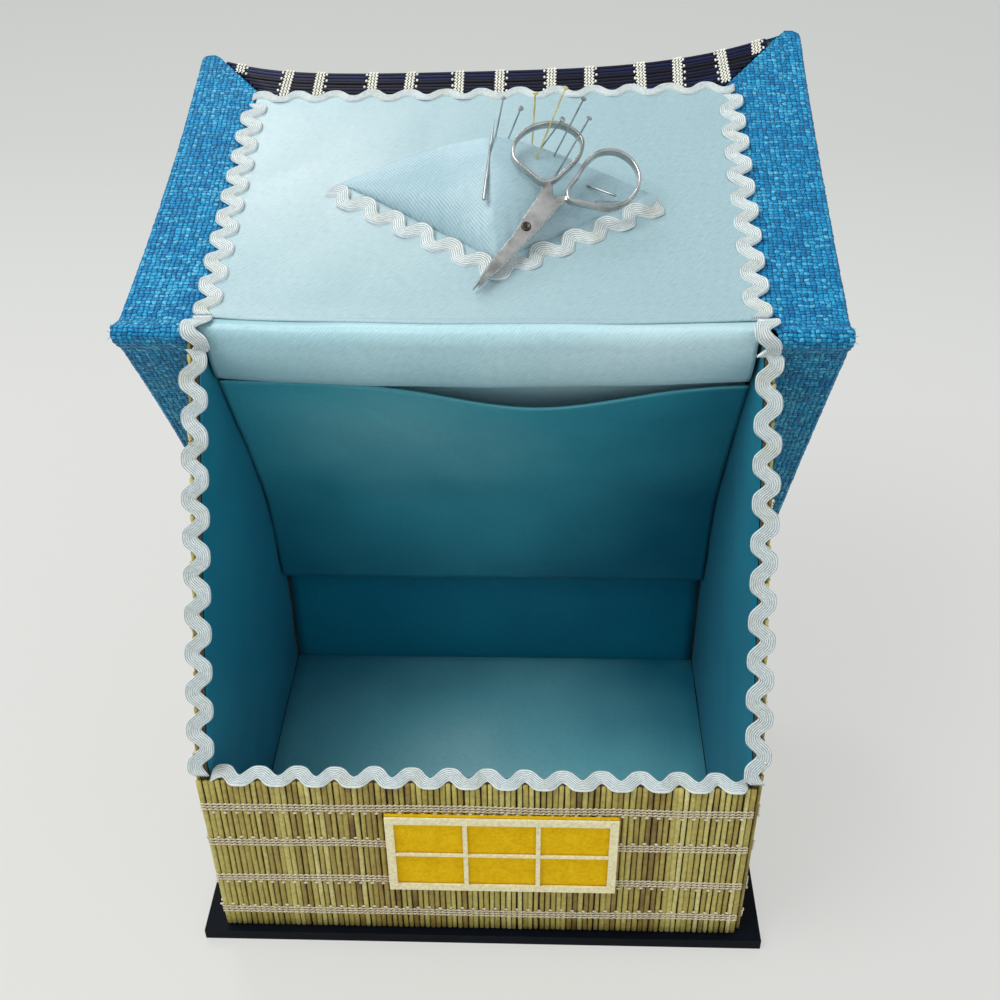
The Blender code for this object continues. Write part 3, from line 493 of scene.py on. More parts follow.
for side, name in ((-1, "left"), (1, "right")):
    share, down = np.meshgrid(np.linspace(-1, 1, 60), np.linspace(0, 1, 90))
    roof = ridge_high / mm - 1.0
    height = lining_low + (roof - lining_low) * (1 - down)
    half = np.minimum(lining_half, (roof + 0.6 - height) / gable_slope)
    y = share * half
    inset = np.minimum((1 - np.abs(share)) * half, np.minimum(height - lining_low, 30.0))
    rise = np.sqrt(1 - (1 - np.clip(inset / 3.0, 0, 1)) ** 2)
    swell = ripple(y * mm, height * mm, 31 + side, 34 * mm, 0.16 * mm) / mm * rise
    x = side * (90.95 - 0.55 * rise - swell)
    points = np.stack([x, y, height], -1) * mm
    flat = np.stack([y, height], -1) * mm
    piece = skin(name + "_lining_satin", points, flat, shaded_lining_satin)
    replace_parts(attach(piece, "box"), name + "_lining")

corners = ((-90.2, 69.5, 7.2), (90.2, 69.5, 7.2), (90.2, -69.5, 7.2), (-90.2, -69.5, 7.2))
puff = ((0, 0, 1), 1.6 * mm)
floor_pad = padded_panel("floor_lining_satin", corners, *puff, 41, floor_satin, 50, 50)
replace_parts(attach(floor_pad, "box"), "floor_lining")


# Pocket: a satin sheet across the inside of the back roof. Its hemmed top edge bows open,
# and at the foot it is turned back to the wall.
pocket_line = (
    (10.98, 187.87),
    (21.0, 169.3),
    (34.7, 144.3),
    (42.7, 128.0),
    (51.0, 109.0),
    (54.2, 96.0),
    (56.3, 82.0),
    (58.5, 70.0),
    (61.0, 62.0),
    (64.0, 60.4),
    (68.3, 59.8),
)


def smooth_line(line, count):
    """Points spread evenly along a line that runs smoothly through the given ones."""
    line = np.array(line, float)
    run = np.r_[0, np.cumsum(np.linalg.norm(np.diff(line, axis=0), axis=1))]
    fine = np.linspace(0, run[-1], count * 6)
    tangent = np.gradient(line, run, axis=0)
    k = np.clip(np.searchsorted(run, fine, side="right") - 1, 0, len(run) - 2)
    gap = (run[k + 1] - run[k])[:, None]
    t = ((fine - run[k]) / gap[:, 0])[:, None]
    one = (1 + 2 * t) * (1 - t) ** 2 * line[k] + t * (1 - t) ** 2 * gap * tangent[k]
    two = t * t * (3 - 2 * t) * line[k + 1] + t * t * (t - 1) * gap * tangent[k + 1]
    curve = one + two
    length = np.r_[0, np.cumsum(np.linalg.norm(np.diff(curve, axis=0), axis=1))]
    even = np.linspace(0, length[-1], count)
    return np.stack([np.interp(even, length, curve[:, j]) for j in range(curve.shape[1])], 1)


pocket_curve = smooth_line(pocket_line, 90)
pocket_run = np.r_[0, np.cumsum(np.linalg.norm(np.diff(pocket_curve, axis=0), axis=1))]
pocket_half = 89.8
hem_drop, hem_bow = 6.0, 6.5
x = np.linspace(-pocket_half, pocket_half, 120)
grid_x, run = np.meshgrid(x, pocket_run)
swell = np.exp(-(((grid_x - 18.0) / 42.0) ** 2))
ease = np.clip(1 - run / 62.0, 0, 1) ** 1.6 * swell
slope_y, slope_z = math.cos(math.atan(gable_slope)), math.sin(math.atan(gable_slope))
y = pocket_curve[:, :1] + (hem_drop * slope_y - hem_bow * slope_z) * ease
z = pocket_curve[:, 1:] - (hem_drop * slope_z + hem_bow * slope_y) * ease
edge_pull = np.clip(1 - (pocket_half - np.abs(grid_x)) / 10.0, 0, 1) ** 2
dent = 0.5 * ripple(grid_x * mm, run * mm, 52, 46 * mm, 0.7 * mm) / mm * (1 - edge_pull)
y = y - np.abs(dent) * 0.8
points = np.stack([grid_x, y, z], -1) * mm
flat = np.stack([grid_x, run], -1) * mm
# Painted light and shade: the pocket's satin is painted deep teal for the shade inside the box,
# paler a little left of its middle near the top, and darker away from there.
pocket_tones = ((2, 108, 134), (62, 166, 184), (128, 202, 210))
pocket_satin = satin_finish("pocket_satin", pocket_tones, 0.38, (-22, 36, 116))
pocket = skin("pocket_satin_sheet", points, flat, pocket_satin)
thicken(pocket, 0.5 * mm, -1.0)
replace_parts(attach(pocket, "box"), "pocket_panel")
hem_path = points[0] + np.array([0, -0.25, 0.1]) * mm
hem = rods("pocket_hem", [hem_path], [(0, -1, 0)], 0.55 * mm, 0.5 * mm, pocket_satin, "satin", 8)
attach(hem, "box")


# Window: mustard felt cut to a rectangle and glued on the front mat, under a frame of thin
# cream card strips that stand for the sash and its bars.
felt = new_finish("mustard_felt", Roughness=1.0, Sheen_Weight=0.05, Specular_IOR_Level=0.05)
wool = speckle(felt, solid_of(felt), 700.0, 6.0, 0.75)
matted = speckle(felt, solid_of(felt), 160.0, 3.0)
felt_tones = ramp(
    felt,
    mixed(felt, 0.35, wool, matted),
    (0.3, paint(212, 162, 0)),
    (0.5, paint(234, 188, 4)),
    (0.72, paint(247, 212, 40)),
)
wire(felt, Base_Color=felt_tones, Normal=relief(felt, wool, 0.5 * mm, 0.9))
dress("window_felt", felt, 0.4 * mm)
sash_tones = (0.28, paint(214, 200, 150)), (0.6, paint(244, 238, 196))
sash_noise, sash_bump = (800.0, 5.0, 0.7), (0.25 * mm, 0.8)
cream_card = grainy("cream_card", sash_noise, *sash_tones, sash_bump, Roughness=0.85)
dress("window_frame", cream_card, 0.2 * mm)


# Roof mats: the same matting dyed navy and held by white threads, its stalks lying along
# the eave. The lid's mat is turned in over the board's edge and glued down inside.
lid_rise = math.radians(17.5)
roof_fall = math.atan(gable_slope)
hinge_y, hinge_z = -2.5 * mm, 212.2 * mm
roof_half_wide = 118 * mm
roof_half_mat = 104.6 * mm
lid_long, back_long = 148 * mm, 151 * mm
hinge_fold = 10 * mm
eave_turn = 2.7 * mm


def on_lid(x, down, level):
    """Points on the lid: across it, down from its hinge and up off its inner face.

    The old card has a slight twist and droops along its eave.
    """
    x, down, level = np.broadcast_arrays(np.asarray(x, float), down, level)
    share = np.clip(down / (150 * mm), 0, 1.1) ** 1.5
    side = x / roof_half_wide
    twist, droop = 3.8 * mm, 1.2 * mm
    level = level + share * (twist * side - droop * (1 - side**2))
    y = hinge_y + down * math.cos(lid_rise) - level * math.sin(lid_rise)
    z = hinge_z + down * math.sin(lid_rise) + level * math.cos(lid_rise)
    return np.stack([x, y, z], -1)


def lid_way(down, level):
    """Directions on the lid, level with its slope and off it."""
    y = down * math.cos(lid_rise) - level * math.sin(lid_rise)
    z = down * math.sin(lid_rise) + level * math.cos(lid_rise)
    return np.stack([np.zeros_like(y), y, z], -1)


def on_back(x, down, out):
    """Points on the fixed roof: across it, down from the ridge and out from its board."""
    x, down, out = np.broadcast_arrays(np.asarray(x, float), down, out)
    y = down * math.cos(roof_fall) + out * math.sin(roof_fall)
    z = ridge_high - down * math.sin(roof_fall) + out * math.cos(roof_fall)
    return np.stack([x, y, z], -1)


def lid_eave(x):
    """How far down the lid its eave lies: rubbed back in the middle, blunt at its corners."""
    side = np.clip(x / roof_half_wide, -0.95, 0.955)
    power = np.where(side < 0, 5.0, 3.2)
    return lid_long + np.where(side < 0, 17.0, 20.0) * mm * np.abs(side) ** power


def back_eave(x):
    return back_long + 10 * mm * np.abs(x / roof_half_wide) ** 3.5


def lid_mat_place(along, heights):
    """Outer face of the lid's mat, from its hinge round the eave to its turned-in end."""
    reach = lid_eave(heights)
    turn = np.clip(along / eave_turn, 0, math.pi)
    share = 1 + np.minimum(along, 0) / (lid_long - eave_turn - hinge_fold)
    inward = np.maximum(along - math.pi * eave_turn, 0)
    flat_down = hinge_fold + (reach - eave_turn - hinge_fold) * share
    down = flat_down + eave_turn * np.sin(turn) - inward
    level = -4.05 * mm - eave_turn * np.cos(turn)
    return on_lid(heights, down, level), lid_way(np.sin(turn), -np.cos(turn))


mitre_slope = 1.28


def back_mat_ends(along):
    return -roof_half_mat, roof_half_mat


def lid_mat_ends(along):
    """The turned-in part of the lid's mat is cut off along the raffia's mitres."""
    if along < 1.5 * eave_turn:
        return back_mat_ends(along)
    x = np.linspace(80 * mm, 106 * mm, 60)
    limits = []
    for side in (-1, 1):
        down = lid_eave(side * x) - max(along - 2 * eave_turn, 0)
        mitre = 133.6 * mm + (x - 89 * mm) * mitre_slope
        inside = x[down > mitre]
        limits.append(side * (inside[-1] + 0.5 * mm if len(inside) else 80 * mm))
    return tuple(limits)


def back_mat_place(along, heights):
    share = along / (140 * mm)
    down = 9.0 * mm + (back_eave(heights) - 11.0 * mm) * share
    normal = np.array([0, math.sin(roof_fall), math.cos(roof_fall)])
    return on_back(heights, down, 4.0 * mm), np.broadcast_to(normal, (len(heights), 3))


navy_tones = (
    (0.05, paint(0, 0, 12)),
    (0.4, paint(0, 4, 30)),
    (0.7, paint(2, 10, 50)),
    (0.95, paint(14, 26, 76)),
)
navy_rush = rush_finish("navy_rush", navy_tones, 0.22)
white_tones = (0.3, paint(196, 194, 176)), (0.62, paint(250, 250, 238))
white_thread = grainy("white_thread", (1400.0, 2.0), *white_tones, (0.1 * mm,), Roughness=0.75)
roof_bands = (-100, -80.3, -67.6, -46.7, -32, -12.7, 2.7, 22.5, 37.5, 57, 71.5, 89.6, 102.6)
roof_bands = [band * mm for band in roof_bands]
back_stalks = np.arange(0, 140.1, 2.0) * mm
lid_stalks = np.arange(-134, 29, 2.0) * mm
roof_mats = (
    ("back_roof", back_mat_place, back_stalks, back_mat_ends, "box"),
    ("lid", lid_mat_place, lid_stalks, lid_mat_ends, "lid"),
)
dyed = (navy_rush, white_thread, "navy_rush")
for seed, (name, place, stalks, ends, body) in enumerate(roof_mats, 60):
    node = name + "_mat"
    made = rush_mat(name + "_rush", place, stalks, ends, roof_bands, *dyed, seed)
    for piece in made:
        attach(piece, body)
    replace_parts(made[0], node)


def ridge_stalks(name, places, facing, half_long=104.6):
    """Stalks along the ridge at the given (y, z) places in millimetres."""
    xs = np.linspace(-half_long, half_long, 40)
    paths = [[(x * mm, y * mm, z * mm) for x in xs] for y, z in places]
    return rods(name, paths, [facing] * len(paths), 0.85 * mm, 0.4 * mm, navy_rush, "navy_rush")


def board_cover(name, low, high, finish):
    """A strip glued over the back board's top edge and down its outer face."""
    x, station = np.meshgrid(np.array([low, high]) * mm, np.arange(3))
    down = np.array([0.85, 0.85, 9.4])[station] * mm
    out = np.array([0.3, 2.4, 2.4])[station] * mm
    run = np.array([0.0, 2.1, 10.7])[station] * mm
    cover = skin(name, on_back(x, down, out), np.stack([x, run], -1), finish)
    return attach(cover, "box")


lid_side_places = [(8.6, 209.85), (7.0, 210.9), (5.4, 211.9), (4.3, 212.7)]
box_side_places = [on_back(0, down * mm, 2.9 * mm)[1:] / mm for down in (1.7, 3.7, 5.7, 7.6)]
fold_places = [(5.5, 210.8), (6.3, 209.7), (7.0, 208.6)]
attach(ridge_stalks("ridge_lid_rush", lid_side_places, (0, 0.5, 0.8)), "lid")
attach(ridge_stalks("ridge_top_rush", [(2.9, 213.2), (1.1, 213.3)], (0, 0.5, 0.8), 60.0), "lid")
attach(ridge_stalks("ridge_box_rush", box_side_places, (0, 0.87, 0.5)), "box")
fold_stalks = ridge_stalks("ridge_hinge_rush", fold_places, (0, 0.5, 0.8))
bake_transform(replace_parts(fold_stalks, "ridge_hinge"))
board_cover("ridge_paper", -104.7, 104.7, navy_paper)


# Raffia borders: one band of plain-woven blue raffia to a side, folded round the edge of the
# roof all the way down both halves, over the ridge in one piece, and glued.
raffia = new_finish("blue_raffia", Roughness=0.5, Specular_IOR_Level=0.25)
flat = flat_of(raffia)
sway = put(raffia, "TexNoise", flat, None, 260.0, 2.0, 0.5, out=1)
drift = put(raffia, "VectorMath", sway, operation="SCALE")
drift.node.inputs["Scale"].default_value = 0.0022
drifted = put(raffia, "VectorMath", flat, drift, operation="ADD")
across_weave = put(raffia, "SeparateXYZ", drifted)
down_weave = across_weave.node.outputs[1]
warp_at = maths(raffia, "DIVIDE", across_weave, 1.75 * mm)
weft_at = maths(raffia, "DIVIDE", down_weave, 1.5 * mm)
warp_id = maths(raffia, "FLOOR", warp_at)
weft_id = maths(raffia, "FLOOR", weft_at)
crossing = maths(raffia, "MODULO", maths(raffia, "ADD", warp_id, weft_id), 2.0)
warp_up = maths(raffia, "LESS_THAN", maths(raffia, "ABSOLUTE", crossing), 0.5)


def strand_tone(own, other, seed):
    """A tone for each strand, changing by stretches along it."""
    stretch = maths(raffia, "FLOOR", maths(raffia, "MULTIPLY", other, 0.31))
    where = put(raffia, "CombineXYZ", own, stretch, seed)
    return put(raffia, "TexWhiteNoise", where, noise_dimensions="3D")


def strand_swell(own, other):
    """Height of a strand where it lies on top: round across, arched along."""
    side = maths(raffia, "ABSOLUTE", maths(raffia, "SUBTRACT", maths(raffia, "FRACT", own), 0.5))
    end = maths(raffia, "ABSOLUTE", maths(raffia, "SUBTRACT", maths(raffia, "FRACT", other), 0.5))
    fall = maths(raffia, "POWER", maths(raffia, "MULTIPLY", side, 2.1), 3.0)
    body = maths(raffia, "SUBTRACT", 1.0, fall)
    dive = maths(raffia, "POWER", maths(raffia, "MULTIPLY", end, 2.0), 2.6)
    arch = maths(raffia, "MULTIPLY_ADD", dive, -0.5, 1.0)
    return maths(raffia, "MULTIPLY", body, arch)


def pick(over, under):
    """The warp's value where it is on top, and the weft's elsewhere."""
    return put(raffia, "Mix", warp_up, None, under, over, data_type="FLOAT")


swell = pick(strand_swell(warp_at, weft_at), strand_swell(weft_at, warp_at))
tone = pick(strand_tone(warp_id, weft_id, 3.0), strand_tone(weft_id, warp_id, 8.0))
shreds = speckle(raffia, drifted, 900.0, 4.0, 0.65)
tone = maths(raffia, "MULTIPLY_ADD", tone, 0.42, maths(raffia, "MULTIPLY", shreds, 0.62))
lit = ramp(
    raffia,
    tone,
    (0.26, paint(0, 98, 150)),
    (0.46, paint(2, 126, 182)),
    (0.64, paint(28, 154, 204)),
    (0.84, paint(108, 198, 226)),
)
# Painted shade: between the strands and where each dives under the next, the colour goes to dark
# blue for the shade in the weave's gaps; a noise breaks up where it shows.
gap_shade_noise = maths(raffia, "MULTIPLY_ADD", speckle(raffia, flat, 420.0, 2.0), 0.8, -0.40)
cover = maths(raffia, "ADD", swell, gap_shade_noise)
gap_shade_share = ramp(raffia, cover, (0.10, (0, 0, 0, 1)), (0.5, (1, 1, 1, 1)))
woven = mixed(raffia, gap_shade_share, paint(0, 56, 96), lit)
weave_relief = relief(raffia, swell, 0.6 * mm, 0.9)
wire(raffia, Base_Color=woven, Normal=relief(raffia, shreds, 0.15 * mm, 0.5, weave_relief))


def roof_half(down, side):
    """Half the roof's width. The left edge is drawn in more than the right."""
    share = down / (162 * mm)
    if side > 0:
        return 119.8 * mm + 0.9 * mm * share - 1.5 * mm * share * (1 - share)
    return 120 * mm - 2.6 * mm * share - 9 * mm * share * (1 - share)


def raffia_band(side):
    """Stations along the band, from the lid's eave over the nose to the back eave.

    Each has its inner face, outer face, edge, inner end and outer end, and whether the eave
    cuts it.
    """
    x = np.linspace(80 * mm, roof_half_wide, 400)
    tip = float(lid_eave(side * roof_half_wide)) / mm
    lip, mitre_from = 105 * mm, 133 * mm
    lid_inner, back_inner = 89.0, 95.0
    stations = []

    def limits(kind, down, eave, straight):
        reach = eave(side * x)
        edge = roof_half(down, side)
        beyond = x[reach >= down]
        eave_x = beyond[0] if len(beyond) else roof_half_wide
        mitred = straight
        if kind == "lid" and down > mitre_from:
            mitred = straight + (down - mitre_from) / mitre_slope
        if kind == "lid" and down > (tip - 2.2) * mm:
            edge = edge - (2.2 * mm - math.sqrt(4.85 * mm**2 - (down - (tip - 2.2) * mm) ** 2))
        inner = min(max(mitred, eave_x), edge - 0.4 * mm)
        cut = eave_x > mitred + 0.1 * mm
        outer = max(lip, eave_x)
        return edge, inner, min(outer, edge - 0.4 * mm), cut or eave_x > lip

    for down in np.linspace(tip, 10.0, 180) * mm:
        edge, inner, outer, cut = limits("lid", down, lid_eave, lid_inner * mm)
        face = on_lid(side * inner, down, -1.75 * mm)
        back = on_lid(side * inner, down, -6.3 * mm)
        stations.append((face[1:], back[1:], edge, inner, outer, cut))
    face_nose = (
        (3.3, 214.1), (-0.4, 214.9), (-2.6, 213.7), (-2.9, 211.2), (-1.6, 208.9), (1.0, 206.5)
    )
    back_nose = (
        (7.6, 210.2), (6.2, 211.2), (4.9, 212.2), (4.3, 211.6), (4.9, 209.9), (6.4, 207.4)
    )
    lid_face, lid_back = (spot / mm for spot in stations[-1][:2])
    back_face, back_back = (on_back(0, 10 * mm, out * mm)[1:] / mm for out in (-0.9, 3.5))
    face_line = smooth_line(np.vstack([lid_face, face_nose, back_face]), 22)[1:-1]
    back_line = smooth_line(np.vstack([lid_back, back_nose, back_back]), 22)[1:-1]
    creases = [0, 0.2, -0.35, 0.3, 0.1, -0.5, 0.35, 0.3, -0.4, 0.3]
    creases += [0.1, -0.45, 0.25, 0, -0.35, 0.2, 0, 0, 0, 0]
    middle = np.array([3.0, 209.5])
    for k, (face, back) in enumerate(zip(face_line, back_line)):
        face = face + unit(face - middle) * creases[k] * 0.8
        inner = lid_inner + (back_inner - lid_inner) * min(1.0, k / 8)
        edge = 119.3 + 0.5 * math.sin(math.pi * k / 19)
        stations.append((face * mm, back * mm, edge * mm, inner * mm, lip, False))
    for down in np.linspace(10.0, 160.5, 178) * mm:
        edge, inner, outer, cut = limits("back", down, back_eave, back_inner * mm)
        face = on_back(side * inner, down, -0.9 * mm)
        back = on_back(side * inner, down, 3.7 * mm)
        stations.append((face[1:], back[1:], edge, inner, outer, cut))
    return stations


def raffia_border(name, side):
    """The band as a sheet whose rows run across it, from inside round the roof's edge."""
    draw = np.random.default_rng(70 + side)
    columns = 34
    rows, flats = [], []
    run = 0.0
    before = None
    for face, back, edge, inner, outer, cut in raffia_band(side):
        run += 0.0 if before is None else float(np.linalg.norm(face - before))
        before = face
        middle = (face + back) / 2
        half = (face - back) / 2
        turn = min(1.6 * mm, (edge - inner) / 2)
        spread = np.linspace(0, 1, columns) ** 0.9
        xs, hs = [inner], [-0.1 if cut else 0.6]
        face_x = inner + (edge - turn - inner) * spread
        xs += list(face_x)
        hs += [1.0] * columns
        for angle in np.linspace(80, -80, 7):
            xs.append(edge - turn + turn * math.cos(math.radians(angle)))
            hs.append(math.sin(math.radians(angle)))
        back_x = edge - turn + (outer - edge + turn) * np.linspace(0, 1, 14)
        xs += list(back_x)
        hs += [-1.0] * 14
        xs.append(outer)
        hs.append(0.1 if cut else -0.6)
        xs, hs = np.array(xs), np.array(hs)
        yz = middle + half * hs[:, None]
        jitter = draw.normal(0, 0.09 * mm, (len(xs), 2))
        rough = half / np.linalg.norm(half) * jitter[:, 1:] * np.sign(hs)[:, None]
        row = np.column_stack([side * (xs + jitter[:, 0]), yz + rough])
        step = np.hypot(np.diff(xs), np.linalg.norm(np.diff(yz, axis=0), axis=1))
        length = np.r_[0, np.cumsum(step)]
        length = length - length[columns + 4]
        rows.append(row)
        flats.append(np.column_stack([length + side * 0.3, np.full(len(xs), run)]))
    if side > 0:
        rows = [row[::-1] for row in rows]
        flats = [flat_row[::-1] for flat_row in flats]
    return skin(name, rows, flats, raffia)


def stray_threads(name, spots, seed):
    """Short frayed ends of raffia that stand off an edge."""
    draw = np.random.default_rng(seed)
    paths, ups = [], []
    for spot, way, length in spots:
        spot, way = np.array(spot, float), np.array(way, float)
        bend = draw.normal(0, 0.35, 3)
        steps = np.linspace(0, 1, 7)[:, None]
        path = spot + (way * steps + bend * steps**2 * 0.6) * length
        paths.append(path * mm)
        ups.append((0, 0, 1))
    wide = [np.linspace(0.16, 0.05, 7) * mm for _ in paths]
    return rods(name, paths, ups, wide, [w * 0.6 for w in wide], raffia, "blue_raffia", 5)


for side, name in ((-1, "left"), (1, "right")):
    border = raffia_border(name + "_raffia_border", side)
    nodes = (name + "_lid_verge", name + "_verge_fold", name + "_back_verge")
    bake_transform(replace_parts(border, *nodes))
    places = np.zeros(len(border.data.loops) * 2, np.float32)
    border.data.uv_layers["flat"].data.foreach_get("uv", places)
    spots = (
        ((side * 119.0, -2.0, 213.4), (side * 0.8, -0.2, 0.4), 1.7),
        ((side * 119.2, -2.2, 211.8), (side * 0.6, -0.5, -0.5), 1.9),
        ((side * 118.8, 1.2, 214.0), (side * 0.7, 0.2, 0.5), 1.2),
    )
    fray = stray_threads(name + "_frayed_raffia", spots, 80 + side)
    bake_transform(fray)
    board_cover(name + "_ridge_raffia", side * 104.8, side * 118.8, raffia)


# Hinge lining: a satin flap sewn to the lid's lining. It covers the nose of the ridge inside,
# hangs loose behind it and is turned back into the pocket's mouth.
flap_middle = smooth_line(
    (
        (10.6, 213.7),
        (7.2, 213.2),
        (4.2, 213.95),
        (0.8, 214.5),
        (-1.6, 213.6),
        (-2.8, 211.2),
        (-2.7, 207.0),
        (-2.1, 202.5),
        (-1.0, 198.0),
        (0.8, 194.0),
        (3.4, 191.0),
        (6.8, 189.4),
        (10.0, 189.7),
        (11.4, 189.8),
        (12.6, 188.67),
        (17.3, 180.4),
        (38.1, 143.9),
    ),
    110,
)
flap_ends = smooth_line(
    (
        (10.6, 213.9),
        (7.2, 213.5),
        (4.6, 213.6),
        (2.2, 213.9),
        (0.7, 213.6),
        (0.1, 212.4),
        (0.0, 207.6),
        (0.5, 203.6),
        (1.6, 200.0),
        (3.4, 196.4),
        (5.4, 193.2),
        (8.0, 190.9),
        (10.2, 190.0),
        (11.4, 189.8),
        (12.6, 188.67),
        (17.3, 180.4),
        (38.1, 143.9),
    ),
    110,
)
# Painted light: the flap's satin is painted paler towards its right side and darker to the left,
# for how the light falls on it.
flap_tones = ((134, 184, 195), (172, 213, 221), (204, 232, 238))
flap_satin = satin_finish("flap_satin", flap_tones, 0.34, (55, 25, 190))
across, station = np.meshgrid(np.linspace(-1, 1, 120), np.arange(110))
share = station / 109.0
weight = (across**2)[..., None]
line = flap_middle[station] * (1 - weight) + flap_ends[station] * weight
narrowing = np.clip((share - 0.06) / 0.10, 0, 1)
half = 94.6 - 5.4 * narrowing**2 * (3 - 2 * narrowing)
flap_x = half * across
hang = np.clip(share / 0.08, 0, 1) * np.clip((0.46 - share) / 0.10, 0, 1)
fold = ripple(flap_x * mm, share * 0.07, 91, 38 * mm, 0.5 * mm) / mm
fold = fold + 0.5 * np.exp(-(((flap_x + 62 - share * 60) / 9.0) ** 2))
fold = fold - 0.5 * np.exp(-(((flap_x - 30 + share * 40) / 12.0) ** 2))
flap_y = line[..., 0] - fold * hang
points = np.stack([flap_x, flap_y, line[..., 1]], -1) * mm
flat = np.stack([flap_x, share * 94.0], -1) * mm
flap = skin("hinge_lining_satin", points, flat, flap_satin)
thicken(flap, 0.45 * mm, 0.0)
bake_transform(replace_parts(flap, "hinge_lining"))


# Lid board: card cut to the roof's outline, hidden between the mat outside and the satin
# and raffia inside. Its corners at the ridge are cut back, where the raffia folds over.
board_x = np.linspace(-1, 1, 61)
board_share = np.linspace(0, 1, 50)
spread, down_share = np.meshgrid(board_x, board_share)
edge_x = spread * 117 * mm
board_top = 10 * mm + 4 * mm * np.clip((np.abs(edge_x) - 99 * mm) / (4 * mm), 0, 1)
down = board_top + down_share * (lid_eave(edge_x) - 2 * mm - board_top)
edge_x = spread * (np.vectorize(roof_half)(down, spread) - 1.4 * mm)
upper_face = on_lid(edge_x, down, -3.1 * mm)
lower_face = on_lid(edge_x, down, -5.0 * mm)
loop = np.concatenate([upper_face, lower_face[:, ::-1], upper_face[:, :1]], 1)
row_at, column_at = np.indices(loop.shape[:2])
flat = np.stack([column_at, row_at], -1)
lid_card = skin("lid_card", loop, flat * mm, bare_card)
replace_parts(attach(lid_card, "lid"), "lid_board")


# Lid lining: one panel of pale satin over the lid's board, thinly padded. Along the hinge its
# edge is turned under and sewn down on the flap in a shallow curve.
# Painted highlight: the lid's satin is painted paler on its left side, a little past halfway down,
# where the satin catches the light.
lid_tones = ((158, 188, 195), (168, 196, 202), (188, 208, 212))
lid_satin = satin_finish("lid_satin", lid_tones, 0.32, (-58, -80, 110))
across, rows = np.meshgrid(np.linspace(-90.2, 90.2, 140), np.arange(116))
weight = (across / 90.2) ** 2
seam = 5.8 + 4.0 * weight + 0.25 * np.sin(across / 9.0)
curl_in = np.array([1.4, 0.5, 0.0, 0.05, 0.5])[:, None]
curl_down = np.array([-0.9, -0.85, -0.5, -0.15, 0.0])[:, None]
share = np.clip((rows - 5) / 110.0, 0, 1) ** 1.15
down = seam + 1.1 + (130.4 - seam - 1.1) * share
down[:5] = seam[:5] + curl_in
slope = 0.56 - 0.13 * weight
over_flap = -0.75 + np.maximum(9.7 - down, 0) * slope + 0.25 * np.exp(-(((down - 10) / 4.0) ** 2))
quilt = ripple(across * mm, down * mm, 101, 44 * mm, 0.16 * mm) / mm
level = np.maximum(over_flap, -0.95) + np.abs(quilt) * np.clip((down - 12) / 10, 0, 1)
level[:5] = level[5] + curl_down
points = on_lid(across * mm, down * mm, level * mm)
flat = np.stack([across, -down], -1) * mm
lid_panel = skin("lid_satin_sheet", points, flat, lid_satin)
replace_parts(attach(lid_panel, "lid"), "lid_satin_panel")


# Rick-rack: white woven braid with seven fine ribs, 5 mm wide, whose edges wave. It covers
# the raw edges round the rim and round the lid's lining, and is glued down.
braid = new_finish("white_braid", Roughness=0.7, Sheen_Weight=0.3, Specular_IOR_Level=0.3)
flat = flat_of(braid)
braid_across = put(braid, "SeparateXYZ", flat)
braid_along = braid_across.node.outputs[1]
rib = maths(braid, "DIVIDE", braid_across, 5.0 * mm / 7)
rib = maths(braid, "ABSOLUTE", maths(braid, "SUBTRACT", maths(braid, "FRACT", rib), 0.5))
rib_lead = maths(braid, "MULTIPLY", rib, 9.0)
twisted = maths(braid, "MULTIPLY_ADD", braid_along, 2 * math.pi / (0.55 * mm), rib_lead)
plies = maths(braid, "SINE", twisted)
lint = speckle(braid, flat, 700.0, 4.0, 0.6)
aged = speckle(braid, flat, 70.0, 3.0)
braid_tones = ramp(braid, lint, (0.3, paint(206, 216, 217)), (0.62, paint(228, 235, 235)))
old_tones = ramp(braid, lint, (0.3, paint(192, 197, 182)), (0.62, paint(220, 222, 206)))
age_share = ramp(braid, aged, (0.5, (0, 0, 0, 1)), (0.72, (0.7, 0.7, 0.7, 1)))
braid_colour = mixed(braid, age_share, braid_tones, old_tones)
# Painted shade: the braid's colour is darkened in the grooves between its ribs.
rib_groove_shade = ramp(braid, rib, (0.25, (1, 1, 1, 1)), (0.45, (0.30, 0.36, 0.38, 1)))
braid_colour = mixed(braid, 1.0, braid_colour, rib_groove_shade, "MULTIPLY")
ply_relief = relief(braid, plies, 0.07 * mm, 0.4)
wire(braid, Base_Color=braid_colour, Normal=relief(braid, lint, 0.08 * mm, 0.3, ply_relief))
braid_wave, braid_swing, braid_half, braid_thick = 12.6 * mm, 2.25 * mm, 2.5 * mm, 1.0 * mm


